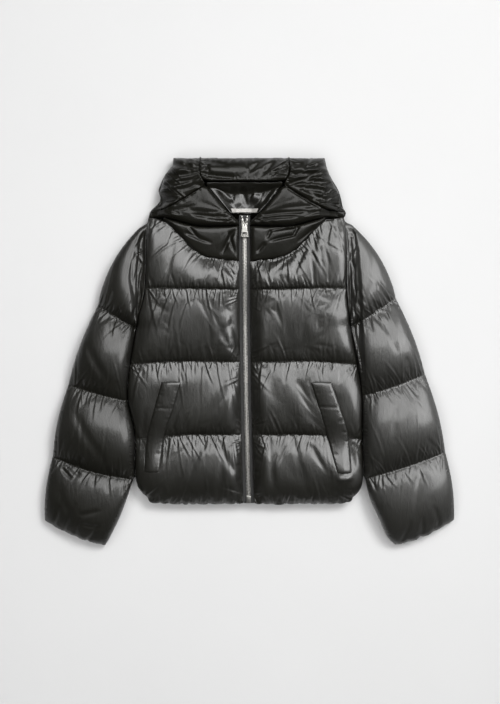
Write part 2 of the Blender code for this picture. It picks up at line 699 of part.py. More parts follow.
def hood_wing(name, side, finish, group):
    """Front edge of the hood: a smooth flap from the shoulder to the zip."""
    def lower(u):
        distance = mix(0.187, ZIP_HALF_TAPE, u)
        return ZIP_TOP_X + side * distance, zip_line(WING_CREASE, distance) + SEAM_GAP

    def upper(u):
        if u < WING_BEND:
            distance = mix(0.187, 0.079, u / WING_BEND)
            return ZIP_TOP_X + side * distance, zip_line(WING_SEAM, distance) - SEAM_GAP
        distance = mix(0.0745, ZIP_HALF_TAPE, (u - WING_BEND) / (1.0 - WING_BEND))
        return ZIP_TOP_X + side * distance, zip_line(FACE_OPENING, distance)

    rolls = ((0.012, 0.026), (0.014, 0.030), (0.020, 0.010), (0.012, 0.022))
    return hood_pad(name, 18, 8, between_edges(lower, upper), 0.044, rolls, finish, group)


def collar(name, side, finish, group):
    """Lower front of the hood, between the neck seam and the fold of its front edge."""
    def lower(u):
        distance = mix(0.160, ZIP_HALF_TAPE, u)
        return ZIP_TOP_X + side * distance, zip_line(NECK_SEAM, distance) + SEAM_GAP

    def upper(u):
        distance = mix(0.160, ZIP_HALF_TAPE, u)
        return ZIP_TOP_X + side * distance, zip_line(WING_CREASE, distance) - SEAM_GAP

    rolls = ((0.018, 0.016), (0.010, 0.022), (0.030, 0.012), (0.014, 0.021))
    return hood_pad(name, 16, 7, between_edges(lower, upper), 0.036, rolls, finish, group)


def hood_inside(name, finish, group):
    """The hood's back as it shows through the face opening."""
    ys = [row.y for row in FACE_OPENING]
    distances = [row.distance for row in FACE_OPENING]

    def edge(y):
        half = smooth_read(ys, distances, y) - INSIDE_CLEAR
        return lambda u: (ZIP_TOP_X + mix(-half, half, u), y)

    lower = edge(LABEL_Y - LABEL_HEIGHT / 2 - 0.002)
    upper = edge(FACE_EDGE_Y - 2 * INSIDE_CLEAR)
    rolls = ((0.006, INSIDE_LOFT), (0.014, 0.006), (0.012, 0.006), (0.012, 0.006))
    return hood_pad(name, 10, 6, between_edges(lower, upper), INSIDE_LOFT, rolls, finish, group)


# --- pockets, zip and label ---------------------------------------------------------------

def join_shapes(target, other, operation):
    """Union with, or difference by, another mesh object, which is then removed."""
    modifier = target.modifiers.new("join", "BOOLEAN")
    modifier.operation = operation
    modifier.object = other
    bpy.context.view_layer.update()
    evaluated = target.evaluated_get(bpy.context.evaluated_depsgraph_get())
    mesh = bpy.data.meshes.new_from_object(evaluated)
    target.modifiers.clear()
    target.data = mesh
    bpy.data.objects.remove(other, do_unlink=True)


def pocket_welt(name, side, ends, front_piece, finish, group, cutters):
    """Padded welt that lies on the front: its underside is the front's own surface."""
    places = [end.y for end in ends]

    def shape(u, v):
        y = mix(places[0], places[-1], v)
        outer = smooth_read(places, [end.outer_x for end in ends], y)
        inner = smooth_read(places, [end.inner_x for end in ends], y)
        width, length = abs(outer - inner), abs(places[-1] - places[0])
        seam = math.exp(-((y + 0.110) / 0.008) ** 2)
        z = edge_blend(POCKET_LOFT * (1.0 - 0.55 * seam), (
            (u * width, 0.012, 0.0035), ((1.0 - u) * width, 0.012, 0.0030),
            (v * length, 0.016, 0.0030), ((1.0 - v) * length, 0.014, 0.0030)))
        x = mix(outer, inner, u)
        ray = Vector((0.0, 0.0, -1.0))
        hit, where, _normal, _index = front_piece.ray_cast(Vector((x, y, 0.2)), ray)
        return x, y, (where.z if hit else PAD_BASE_Z) + REST_GAP + z

    bpy.context.view_layer.update()
    welt = pad(name, 6, 22, shape, finish, group, base_z=PAD_BASE_Z + 0.004)
    cutter = front_piece.copy()
    cutter.data = front_piece.data.copy()
    cutter.location.z += REST_GAP
    cutter.hide_render = True
    cutter.display_type = "WIRE"
    cutters.objects.link(cutter)
    join_shapes(welt, cutter, "DIFFERENCE")
    return welt


def strip(name, left_edge, right_edge, low_y, high_y, bottom, thickness, finish, group):
    """A flat band along the zip; the edges are distances from its centre line."""
    rows = 18
    bm = bmesh.new()
    bmesh.ops.create_grid(bm, x_segments=1, y_segments=rows, size=0.5)
    for vert in bm.verts:
        y = mix(low_y, high_y, vert.co.y + 0.5)
        x = zip_x(y) + mix(left_edge, right_edge, vert.co.x + 0.5)
        vert.co = Vector((x, y, bottom + zip_rise(y)))
    extruded = bmesh.ops.extrude_face_region(bm, geom=bm.faces[:])["geom"]
    for item in extruded:
        if isinstance(item, bmesh.types.BMVert):
            item.co.z += thickness
    return keep(bm, name, finish, group, smooth=False)


def block(name, size, centre, finish, group, bevel=0.0):
    bm = bmesh.new()
    bmesh.ops.create_cube(bm, size=1.0)
    bmesh.ops.scale(bm, vec=size, verts=bm.verts[:])
    if bevel:
        bmesh.ops.bevel(bm, geom=bm.edges[:], offset=bevel, segments=2, profile=0.5,
                        affect="EDGES")
    bmesh.ops.translate(bm, vec=centre, verts=bm.verts[:])
    return keep(bm, name, finish, group)


def taper(piece, low_y, high_y, low_width, high_width):
    """Give a plate straight slanting sides from one width to another."""
    full = max(abs(v.co.x) for v in piece.data.vertices)
    for vert in piece.data.vertices:
        t = clamp((vert.co.y - low_y) / (high_y - low_y))
        vert.co.x *= mix(low_width, high_width, t) / (2.0 * full)


def zip_slider(name, plate_z, finish, group):
    """Slider body over the chain, with side flanges and the bail that holds the puller."""
    low_y = SLIDER_TOP_Y - SLIDER_LENGTH
    middle_y = (SLIDER_TOP_Y + low_y) / 2
    slider = block(name, (SLIDER_TOP_WIDTH, SLIDER_LENGTH, SLIDER_PLATE),
                   (0.0, middle_y, plate_z + SLIDER_PLATE / 2), finish, group, 0.0007)
    taper(slider, low_y, SLIDER_TOP_Y, SLIDER_LOW_WIDTH, SLIDER_TOP_WIDTH)
    flange_height = CHAIN_THICK - 0.0002
    for side in (-1, 1):
        flange = block("flange", (0.0011, SLIDER_LENGTH - 0.006, flange_height + 0.001),
                       (side * (CHAIN_HALF_WIDTH + 0.00105), middle_y,
                        plate_z - flange_height / 2 + 0.0005), finish, group)
        join_shapes(slider, flange, "UNION")
    bpy.ops.mesh.primitive_torus_add(
        major_radius=BAIL_RADIUS, minor_radius=BAIL_WIRE, major_segments=20, minor_segments=8,
        rotation=(0.0, math.pi / 2, 0.0),
        location=(0.0, PULLER_Y, plate_z + SLIDER_PLATE + BAIL_LIFT))
    bail = bpy.context.active_object
    bpy.ops.object.transform_apply(location=True, rotation=True, scale=True)
    join_shapes(slider, bail, "UNION")
    slider.location.x = zip_x(PULLER_Y)
    return slider


def zip_puller(name, axis_z, finish, group):
    """Pull tab, hinged on its top bar; its origin is on the hinge axis."""
    tab_start = 0.0002
    middle = -(PULLER_LENGTH + tab_start) / 2
    puller = block(name, (PULLER_LOW_WIDTH, PULLER_LENGTH - tab_start, PULLER_THICK),
                   (0.0, middle, 0.0), finish, group, 0.0005)
    taper(puller, -PULLER_LENGTH, -0.004, PULLER_LOW_WIDTH, PULLER_TOP_WIDTH)
    slot_half = BAIL_WIRE + 0.0005
    slot_end = BAIL_RADIUS + BAIL_WIRE + 0.0008
    slot = block("slot", (2 * slot_half, slot_end + 0.001, 0.01),
                 (0.0, -slot_end / 2 + 0.0005, 0.0), finish, group)
    join_shapes(puller, slot, "DIFFERENCE")
    window = block("window", (0.0078, 0.0050, 0.01), (0.0, -PULLER_LENGTH + 0.0052, 0.0),
                   finish, group)
    join_shapes(puller, window, "DIFFERENCE")
    bpy.ops.mesh.primitive_cylinder_add(vertices=16, radius=PIN_RADIUS, depth=PULLER_TOP_WIDTH,
                                        rotation=(0.0, math.pi / 2, 0.0))
    pin = bpy.context.active_object
    bpy.ops.object.transform_apply(location=True, rotation=True, scale=True)
    join_shapes(puller, pin, "UNION")
    puller.location = (zip_x(PULLER_Y), PULLER_Y, axis_z)
    return puller


def main():
    for leftover in list(bpy.data.objects):
        bpy.data.objects.remove(leftover, do_unlink=True)
    jacket = new_collection("puffer_jacket")
    cutters = new_collection("cutters")
    nylon = material("glossy_nylon", NYLON, 0.32)
    inside = material("nylon_inside", NYLON_INSIDE, 0.36)
    tape = material("zip_tape", TAPE_BLACK, 0.85)
    steel = material("zip_steel", STEEL, 0.28, 1.0)
    white = material("label_cloth", LABEL_WHITE, 0.80)

    back("back", nylon, jacket)
    hood_back("hood_back", nylon, jacket)
    hood_inside("hood_inside", inside, jacket)
    hood_crown("hood_crown", nylon, jacket)
    sides = (("right", -1, RIGHT_SLEEVE, RIGHT_POCKET), ("left", 1, LEFT_SLEEVE, LEFT_POCKET))
    for word, side, rings, pocket in sides:
        panel = front(f"front_{word}", side, nylon, jacket)
        sleeve(f"sleeve_{word}", side, rings, nylon, jacket)
        collar(f"collar_{word}", side, nylon, jacket)
        hood_wing(f"hood_wing_{word}", side, nylon, jacket)
        hood_side(f"hood_side_{word}", side, nylon, jacket)
        pocket_welt(f"pocket_welt_{word}", side, pocket, panel, nylon, jacket, cutters)

    tape_z = PAD_BASE_Z + REST_GAP
    chain_z = tape_z + TAPE_THICK + REST_GAP
    for word, side in (("right", -1), ("left", 1)):
        edges = sorted((side * 0.0002, side * (ZIP_HALF_TAPE - REST_GAP)))
        strip(f"zip_tape_{word}", edges[0], edges[1], ZIP_BOTTOM_Y, ZIP_TOP_Y, tape_z,
              TAPE_THICK, tape, jacket)
    strip("zip_chain", -CHAIN_HALF_WIDTH, CHAIN_HALF_WIDTH, ZIP_BOTTOM_Y + 0.0155,
          SLIDER_TOP_Y - 0.001, chain_z, CHAIN_THICK, steel, jacket)
    plate_z = chain_z + ZIP_RISE + CHAIN_THICK + REST_GAP
    zip_slider("zip_slider", plate_z, steel, jacket)
    zip_puller("zip_puller", plate_z + SLIDER_PLATE + PIN_LIFT, steel, jacket)
    for word, side in (("right", -1), ("left", 1)):
        block(f"zip_top_stop_{word}", (0.0035, 0.0040, 0.0030),
              (ZIP_TOP_X + side * 0.0055, SLIDER_TOP_Y + 0.0035, chain_z + ZIP_RISE + 0.0015),
              steel, jacket, 0.0005)
    block("zip_bottom_stop", (0.0090, 0.0150, 0.0042),
          (zip_x(ZIP_BOTTOM_Y + 0.0075), ZIP_BOTTOM_Y + 0.0077, chain_z + 0.0021),
          steel, jacket, 0.0008)
    label = block("neck_label", (LABEL_TOP_WIDTH, LABEL_HEIGHT, LABEL_THICK),
                  (0.0, LABEL_Y, PAD_BASE_Z + INSIDE_LOFT + REST_GAP + LABEL_THICK / 2),
                  white, jacket, 0.0002)
    taper(label, LABEL_Y - LABEL_HEIGHT / 2, LABEL_Y + LABEL_HEIGHT / 2, LABEL_LOW_WIDTH,
          LABEL_TOP_WIDTH)
    label.location.x = ZIP_TOP_X


main()
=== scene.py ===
"""Hooded puffer jacket, zipped up and laid flat on its back: the look of every sewn piece.

Metres, +Z up. The hood points to +Y and the wearer's right sleeve to -X. A side is -1 for the
wearer's right and 1 for the left. The first number given to uneven, scallops, gathers and
puckers is only the seed of their random draws.
"""
import math
import random

import bmesh
import bpy
import numpy as np
from mathutils import Matrix, Vector
from mathutils.bvhtree import BVHTree


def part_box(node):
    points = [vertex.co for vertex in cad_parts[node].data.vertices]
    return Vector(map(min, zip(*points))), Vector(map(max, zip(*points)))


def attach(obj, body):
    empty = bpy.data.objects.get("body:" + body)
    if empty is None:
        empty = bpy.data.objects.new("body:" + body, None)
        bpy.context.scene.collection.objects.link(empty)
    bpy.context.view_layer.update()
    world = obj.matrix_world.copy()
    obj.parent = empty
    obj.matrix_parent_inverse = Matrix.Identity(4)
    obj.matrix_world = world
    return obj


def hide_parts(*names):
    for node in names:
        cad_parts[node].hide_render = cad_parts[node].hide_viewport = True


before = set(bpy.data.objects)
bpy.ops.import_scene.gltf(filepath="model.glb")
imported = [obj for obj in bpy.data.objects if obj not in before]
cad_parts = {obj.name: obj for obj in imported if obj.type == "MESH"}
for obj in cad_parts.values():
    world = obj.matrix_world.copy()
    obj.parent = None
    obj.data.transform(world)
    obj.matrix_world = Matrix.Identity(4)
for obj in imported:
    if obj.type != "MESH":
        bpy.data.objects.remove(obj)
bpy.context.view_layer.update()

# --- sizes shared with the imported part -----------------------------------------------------

SEAM_GAP = 0.0004                 # half the hairline between two sewn pieces
BACK_TOP_Z, PAD_BASE_Z = 0.0297, 0.0300
ZIP_TOP_X, ZIP_LEAN, ZIP_LEAN_FROM_Y = -0.0098, 0.0296, 0.2240
ZIP_TOP_Y, ZIP_BOTTOM_Y, ZIP_HALF_TAPE = 0.2720, -0.3020, 0.0110
ZIP_RISE, ZIP_RISE_FROM_Y, ZIP_RISE_TO_Y = 0.0155, 0.050, 0.185
SLIDER_Z, HINGE_Y, HINGE_Z = 0.0521, 0.2540, 0.0549
SHOULDER_Y, ARMPIT_Y = 0.2665, 0.0450
HOOD_TOP_Y, HOOD_EDGE_INSET, FACE_EDGE_Y = 0.3900, 0.0035, 0.3360

BODY_SIDES = np.array((           # y, wearer's right x, wearer's left x
    (0.27, -0.203, 0.189), (0.204, -0.2055, 0.1936), (0.126, -0.2076, 0.193),
    (0.054, -0.2238, 0.2), (-0.034, -0.2396, 0.2178), (-0.09, -0.243, 0.2236),
    (-0.16, -0.229, 0.2246), (-0.244, -0.228, 0.227), (-0.268, -0.2235, 0.224),
    (-0.283, -0.213, 0.215), (-0.29, -0.203, 0.206)))
LOWER_SLEEVE_SIDES = np.array((   # y and x of the sleeves' inner edges below the body
    (-0.252, -0.2305, 0.23), (-0.29, -0.243, 0.2385), (-0.332, -0.259, 0.257),
    (-0.37, -0.278, 0.275), (-0.39, -0.289, 0.293)))
HOOD_SIDES = np.array((           # likewise
    (0.267, -0.202, 0.188), (0.278, -0.201, 0.194), (0.29, -0.193, 0.188), (0.304, -0.181, 0.185),
    (0.324, -0.183, 0.179), (0.35, -0.173, 0.164), (0.374, -0.157, 0.155), (0.39, -0.153, 0.151)))
FRONT_ROWS = (                    # side y, near y, middle y, zip y, lip of each cross seam
    (-0.285, -0.2995, -0.3025, -0.303, 0.006), (-0.174, -0.172, -0.164, -0.165, 0.0175),
    (-0.031, -0.023, -0.018, -0.0205, 0.0175), (0.125, 0.1265, 0.126, 0.124, 0.031))
ROW_STOPS = (0.0, 0.12, 0.5, 1.0)  # where those four heights stand, from side seam to zip
NECK_SEAM = np.array((            # distance from the zip, y
    (0.011, 0.18), (0.059, 0.186), (0.083, 0.192), (0.105, 0.207), (0.133, 0.236), (0.155, 0.257),
    (0.171, 0.266), (0.215, 0.267)))
WING_CREASE = np.array((          # the fold between collar and wing, likewise
    (0.011, 0.251), (0.05, 0.249), (0.095, 0.25), (0.135, 0.26), (0.165, 0.268), (0.19, 0.269)))
WING_SEAM = np.array((            # the wing's upper edge below the side of the hood, likewise
    (0.079, 0.327), (0.123, 0.3), (0.156, 0.283), (0.19, 0.28)))
FACE_OPENING = np.array((         # the wing's upper edge beside the opening, likewise
    (0.011, 0.257), (0.0325, 0.278), (0.076, 0.33)))
CROWN_SEAM = np.array((           # y, distance from the middle
    (0.326, 0.0775), (0.336, 0.08), (0.35, 0.0875), (0.39, 0.088)))

RIGHT_SLEEVE = np.array((         # out x, out y, in y, bow, top z, edge z, puff below
    (-0.2055, 0.262, 0.066, 0.0, 0.05, 0.026, 0.022),
    (-0.303, 0.096, 0.048, 0.003, 0.05, 0.023, 0.031),
    (-0.363, -0.064, -0.098, 0.002, 0.048, 0.022, 0.032),
    (-0.395, -0.208, -0.254, 0.007, 0.046, 0.021, 0.028),
    (-0.412, -0.339, -0.389, 0.003, 0.03, 0.014, 0.0)))
LEFT_SLEEVE = np.array((
    (0.1915, 0.2655, 0.066, 0.0, 0.05, 0.026, 0.022),
    (0.293, 0.108, 0.05, 0.002, 0.052, 0.023, 0.029),
    (0.352, -0.044, -0.088, 0.002, 0.05, 0.022, 0.031),
    (0.393, -0.2, -0.252, 0.002, 0.048, 0.021, 0.027),
    (0.412, -0.338, -0.388, 0.003, 0.03, 0.014, 0.0)))
RIGHT_POCKET = np.array((         # y, outer x, inner x of the welt
    (-0.238, -0.209, -0.179), (-0.168, -0.203, -0.169), (-0.11, -0.188, -0.15),
    (-0.06, -0.174, -0.136)))
LEFT_POCKET = np.array((
    (-0.24, 0.203, 0.173), (-0.166, 0.196, 0.154), (-0.11, 0.179, 0.137), (-0.06, 0.162, 0.121)))

# main creases, each from one end to the other with its half width and depth
BODY_FOLDS = (
    (0.104, 0.216, 0.028, 0.163, 0.007, 0.007), (0.112, 0.205, 0.082, 0.138, 0.006, 0.006),
    (0.132, 0.236, 0.124, 0.14, 0.006, 0.006), (0.158, 0.25, 0.152, 0.15, 0.006, 0.006),
    (0.09, 0.19, 0.04, 0.148, 0.004, 0.004), (0.142, 0.205, 0.146, 0.15, 0.004, 0.004),
    (-0.062, 0.18, -0.05, 0.132, 0.006, 0.005), (-0.048, 0.17, -0.02, 0.14, 0.005, 0.006),
    (-0.15, 0.215, -0.165, 0.14, 0.008, 0.005), (-0.185, 0.115, -0.15, 0.03, 0.008, 0.005),
    (-0.1, 0.118, -0.07, 0.06, 0.008, 0.004), (-0.082, 0.105, -0.04, 0.01, 0.007, 0.004),
    (-0.03, 0.06, -0.085, 0.0, 0.008, 0.004), (0.04, 0.12, 0.065, 0.05, 0.008, 0.005),
    (0.12, 0.1, 0.1, 0.01, 0.007, 0.004), (0.145, 0.118, 0.14, 0.04, 0.006, 0.004),
    (0.165, 0.118, 0.13, 0.02, 0.008, 0.005), (-0.03, -0.06, -0.085, -0.14, 0.009, 0.004),
    (0.03, -0.03, 0.06, -0.11, 0.008, 0.004), (0.098, -0.06, 0.12, -0.13, 0.008, 0.004),
    (-0.09, -0.178, -0.12, -0.25, 0.007, 0.005), (-0.06, -0.178, -0.03, -0.24, 0.006, 0.005),
    (-0.045, -0.18, -0.06, -0.285, 0.007, 0.004), (0.045, -0.18, 0.05, -0.28, 0.006, 0.005),
    (0.12, -0.185, 0.155, -0.24, 0.006, 0.005), (0.09, -0.18, 0.11, -0.26, 0.007, 0.005),
    (-0.03, 0.115, -0.12, 0.0, 0.018, 0.004), (-0.11, 0.118, -0.19, 0.03, 0.016, 0.003),
    (0.03, 0.11, 0.09, 0.0, 0.016, 0.004), (0.1, 0.12, 0.17, 0.02, 0.016, 0.004),
    (-0.05, -0.03, -0.13, -0.15, 0.018, 0.004), (0.03, -0.03, 0.1, -0.15, 0.018, 0.004),
    (-0.1, -0.175, -0.165, -0.27, 0.014, 0.003), (0.05, -0.18, 0.12, -0.27, 0.016, 0.004),
    (-0.17, 0.24, -0.19, 0.14, 0.016, 0.004), (-0.09, 0.19, -0.1, 0.135, 0.014, 0.003),
    (0.176, -0.254, 0.204, -0.247, 0.006, -0.006), (0.206, -0.17, 0.208, -0.235, 0.003, 0.004),
    (-0.207, -0.12, -0.212, -0.235, 0.003, 0.003))
SLEEVE_FOLDS = (
    (-0.214, 0.232, -0.222, 0.17, 0.0032, 0.006), (-0.222, 0.18, -0.226, 0.11, 0.0032, 0.006),
    (-0.212, 0.17, -0.22, 0.11, 0.003, 0.005), (-0.216, 0.12, -0.228, 0.06, 0.003, 0.005),
    (-0.272, 0.12, -0.282, 0.098, 0.004, 0.005), (-0.258, 0.085, -0.268, 0.05, 0.004, 0.005),
    (-0.32, 0.014, -0.275, -0.064, 0.0075, 0.004), (-0.345, -0.12, -0.286, -0.216, 0.008, 0.004),
    (-0.273, 0.07, -0.27, 0.02, 0.004, 0.003), (-0.33, -0.208, -0.345, -0.236, 0.004, 0.005),
    (-0.362, -0.222, -0.33, -0.25, 0.004, 0.005), (-0.38, -0.27, -0.35, -0.33, 0.008, 0.003),
    (-0.335, -0.322, -0.29, -0.312, 0.005, 0.004), (-0.33, -0.342, -0.29, -0.347, 0.004, 0.004),
    (-0.394, -0.347, -0.375, -0.3, 0.004, 0.005), (-0.374, -0.355, -0.35, -0.305, 0.0045, 0.005),
    (-0.35, -0.362, -0.335, -0.32, 0.004, 0.004), (-0.318, -0.374, -0.3, -0.34, 0.0035, 0.004),
    (-0.372, -0.232, -0.352, -0.252, 0.0035, 0.006), (0.302, -0.38, 0.32, -0.33, 0.004, 0.003),
    (0.378, -0.346, 0.362, -0.3, 0.005, 0.003), (0.345, -0.362, 0.34, -0.325, 0.004, 0.003),
    (0.203, 0.225, 0.208, 0.16, 0.003, 0.006), (0.21, 0.17, 0.214, 0.1, 0.003, 0.006),
    (0.201, 0.15, 0.21, 0.09, 0.003, 0.005), (0.206, 0.11, 0.214, 0.05, 0.003, 0.005),
    (0.251, 0.138, 0.256, 0.102, 0.0024, 0.0015), (0.259, 0.13, 0.27, 0.1, 0.0024, 0.0015),
    (0.256, 0.092, 0.279, 0.026, 0.0034, 0.005), (0.249, 0.09, 0.266, 0.04, 0.003, 0.004),
    (0.21, 0.058, 0.222, -0.03, 0.003, 0.006), (0.218, 0.06, 0.228, -0.05, 0.003, 0.005),
    (0.27, 0.085, 0.285, 0.01, 0.006, 0.003), (0.31, -0.01, 0.326, -0.062, 0.005, 0.003),
    (0.29, -0.11, 0.282, -0.17, 0.006, 0.003), (0.34, -0.245, 0.325, -0.32, 0.006, 0.003))
HOOD_FOLDS = (
    (-0.2, 0.29, -0.105, 0.321, 0.0065, 0.01), (-0.195, 0.308, -0.092, 0.333, 0.006, 0.012),
    (-0.188, 0.327, -0.098, 0.343, 0.0055, 0.011), (-0.18, 0.345, -0.1, 0.353, 0.0055, 0.01),
    (-0.128, 0.39, -0.114, 0.352, 0.0045, 0.009), (-0.152, 0.372, -0.105, 0.364, 0.0045, 0.007),
    (-0.108, 0.39, -0.098, 0.36, 0.004, 0.007), (-0.16, 0.36, -0.14, 0.335, 0.0035, 0.004),
    (0.192, 0.29, 0.11, 0.305, 0.006, 0.01), (0.188, 0.308, 0.084, 0.324, 0.0065, 0.012),
    (0.182, 0.327, 0.076, 0.337, 0.0055, 0.012), (0.174, 0.346, 0.084, 0.349, 0.0055, 0.01),
    (0.125, 0.39, 0.108, 0.362, 0.0045, 0.009), (0.156, 0.37, 0.105, 0.36, 0.0045, 0.008),
    (0.076, 0.329, 0.156, 0.363, 0.0035, 0.009), (0.15, 0.298, 0.11, 0.316, 0.0035, 0.005))
CROWN_FOLDS = (
    (0.07, 0.386, 0.016, 0.342, 0.006, 0.008), (0.046, 0.388, -0.008, 0.348, 0.005, 0.006),
    (0.078, 0.366, 0.04, 0.346, 0.004, 0.005), (-0.092, 0.35, -0.02, 0.343, 0.005, 0.005),
    (-0.094, 0.38, -0.04, 0.368, 0.005, 0.004), (-0.09, 0.386, -0.078, 0.35, 0.0035, 0.005))
WING_FOLDS = (
    (-0.11, 0.27, -0.026, 0.266, 0.004, 0.005), (-0.085, 0.261, -0.024, 0.259, 0.003, 0.004),
    (-0.12, 0.279, -0.05, 0.276, 0.0045, 0.003), (-0.16, 0.278, -0.1, 0.291, 0.005, 0.003),
    (0.11, 0.276, 0.006, 0.265, 0.0045, 0.006), (0.13, 0.286, 0.04, 0.278, 0.0055, 0.004),
    (0.09, 0.266, 0.004, 0.257, 0.003, 0.005), (0.16, 0.276, 0.11, 0.272, 0.0045, 0.004))
COLLAR_FOLDS = (
    (-0.125, 0.236, -0.07, 0.215, 0.0045, 0.005), (-0.03, 0.24, -0.055, 0.192, 0.004, 0.008),
    (-0.04, 0.236, -0.03, 0.196, 0.003, 0.006), (-0.118, 0.246, -0.1, 0.226, 0.003, 0.005),
    (0.094, 0.247, 0.042, 0.239, 0.0026, 0.007), (0.086, 0.23, 0.04, 0.219, 0.0026, 0.007),
    (0.096, 0.246, 0.086, 0.228, 0.0026, 0.006), (0.042, 0.24, 0.034, 0.222, 0.0026, 0.005),
    (0.13, 0.248, 0.092, 0.212, 0.004, 0.005), (0.03, 0.214, 0.014, 0.196, 0.0035, 0.005))
INSIDE_FOLDS = (
    (-0.06, 0.322, -0.02, 0.29, 0.005, 0.004), (0.046, 0.324, 0.024, 0.29, 0.0045, 0.005),
    (-0.014, 0.326, -0.006, 0.29, 0.005, 0.005), (-0.03, 0.326, -0.034, 0.3, 0.004, 0.003),
    (0.006, 0.31, 0.02, 0.304, 0.008, -0.009), (-0.038, 0.3, -0.02, 0.292, 0.006, -0.004))
ARMHOLE_RIDGES = (                # sharp small folds of the loose cloth beside each armhole
    (0.2125, 0.238, 0.215, 0.206, 0.0017, 0.0016), (0.215, 0.214, 0.204, 0.18, 0.0016, 0.0016),
    (0.206, 0.228, 0.2, 0.188, 0.0017, 0.0016), (0.211, 0.2, 0.201, 0.168, 0.0015, 0.0014),
    (0.201, 0.18, 0.207, 0.15, 0.0015, 0.0014), (0.212, 0.172, 0.213, 0.124, 0.0016, 0.0013),
    (0.204, 0.15, 0.206, 0.102, 0.0015, 0.0013), (0.214, 0.122, 0.211, 0.074, 0.0017, 0.0013),
    (0.208, 0.098, 0.217, 0.06, 0.0015, 0.0014), (0.217, 0.074, 0.213, 0.03, 0.0016, 0.0015),
    (0.22, 0.046, 0.222, -0.01, 0.0016, 0.0014), (0.215, 0.01, 0.221, -0.044, 0.0016, 0.0013),
    (-0.22, 0.214, -0.2255, 0.194, 0.0018, 0.0018),
    (-0.225, 0.197, -0.211, 0.205, 0.0016, 0.0018),
    (-0.2205, 0.21, -0.212, 0.202, 0.0015, 0.0016),
    (-0.2235, 0.195, -0.2075, 0.172, 0.0017, 0.0017),
    (-0.207, 0.172, -0.215, 0.136, 0.0018, 0.0016), (-0.215, 0.142, -0.211, 0.11, 0.0017, 0.0016),
    (-0.212, 0.118, -0.215, 0.08, 0.0018, 0.0015), (-0.208, 0.24, -0.206, 0.212, 0.0015, 0.0014),
    (-0.229, 0.184, -0.231, 0.14, 0.0015, 0.0012), (-0.222, 0.16, -0.226, 0.112, 0.0015, 0.0012),
    (-0.224, 0.09, -0.228, 0.048, 0.0017, 0.0013))
ARMHOLE_FOLDS = {                 # y and x of the deep fold beside each armhole
    -1: np.array((
        (0.25, -0.21), (0.207, -0.2285), (0.152, -0.24), (0.1, -0.233), (0.044, -0.234),
        (0.0, -0.237))),
    1: np.array((
        (0.256, 0.206), (0.225, 0.215), (0.104, 0.2225), (0.024, 0.225), (-0.06, 0.228),
        (-0.09, 0.229)))}


# --- small helpers on arrays of places ------------------------------------------------------

def mix(a, b, t):
    return a + (b - a) * t


def ease(t):
    t = np.clip(t, 0.0, 1.0)
    return t * t * (3.0 - 2.0 * t)


def smooth_read(table, column, at):
    """Values at places on the smooth curve through a short table, read by its first column."""
    rows = table if table[0, 0] < table[-1, 0] else table[::-1]
    places, values = rows[:, 0], rows[:, column]
    at = np.clip(np.asarray(at, float), places[0], places[-1])
    i = np.clip(np.searchsorted(places, at, side="right") - 1, 0, len(places) - 2)
    before = np.maximum(np.arange(len(places)) - 1, 0)
    after = np.minimum(np.arange(len(places)) + 1, len(places) - 1)
    slopes = (values[after] - values[before]) / (places[after] - places[before])
    span = places[i + 1] - places[i]
    t = (at - places[i]) / span
    start = (2 * t**3 - 3 * t**2 + 1) * values[i] + (t**3 - 2 * t**2 + t) * span * slopes[i]
    return start + (3 * t**2 - 2 * t**3) * values[i + 1] + (t**3 - t**2) * span * slopes[i + 1]


def side_x(table, side, y):
    return smooth_read(table, 1 if side < 0 else 2, y)


def zip_x(y):
    return ZIP_TOP_X + ZIP_LEAN * np.maximum(0.0, ZIP_LEAN_FROM_Y - y) ** 2


def zip_rise(y):
    return ZIP_RISE * ease((y - ZIP_RISE_FROM_Y) / (ZIP_RISE_TO_Y - ZIP_RISE_FROM_Y))


def of_side(folds, side):
    return [fold for fold in folds if fold[0] * side > 0]


def rolled(away, roll):
    """Height share of a rolled edge: 0 at the edge, 1 from the roll's width inwards."""
    return np.sqrt(np.maximum(0.0, 1.0 - (1.0 - np.clip(away / roll, 0, 1)) ** 2))


def run_of(path):
    """The length from a path's start to each of its points."""
    return np.concatenate(([0.0], np.cumsum(np.linalg.norm(np.diff(path, axis=0), axis=1))))


def uneven(seed, places, spacing):
    """A smooth random line from -1 to 1 along a seam, with one knot every spacing."""
    chance = random.Random(seed)
    low, high = float(np.min(places)), float(np.max(places))
    knots = [chance.uniform(-1.0, 1.0) for _ in range(int((high - low) / spacing) + 4)]
    at = (np.asarray(places) - low) / spacing
    i = at.astype(int)
    t = ease(at - i)
    knots = np.array(knots)
    return mix(knots[i], knots[i + 1], t)


def scallops(seed, places, spacing):
    """Bulges between the notches of a gathered edge, 0 at each notch, no two alike."""
    chance = random.Random(seed)
    notches, sizes = [float(np.min(places)) - 1e-6], []
    while notches[-1] < float(np.max(places)):
        notches.append(notches[-1] + spacing * chance.uniform(0.6, 1.5))
        sizes.append(chance.uniform(0.5, 1.0))
    notches, sizes = np.array(notches), np.array(sizes)
    i = np.clip(np.searchsorted(notches, places, side="right") - 1, 0, len(sizes) - 1)
    share = (places - notches[i]) / (notches[i + 1] - notches[i])
    return sizes[i] * np.sqrt(np.clip(4.0 * share * (1.0 - share), 0.0, 1.0))


def beside_line(x, y, line):
    """Each place's share of the way along a slightly bowed line, and its distance from it."""
    x0, y0, x1, y1 = line
    along_x, along_y = x1 - x0, y1 - y0
    length = math.hypot(along_x, along_y)
    share = ((x - x0) * along_x + (y - y0) * along_y) / length**2
    off = ((x - x0) * along_y - (y - y0) * along_x) / length
    return share, off + 0.10 * length * (share * share - share)


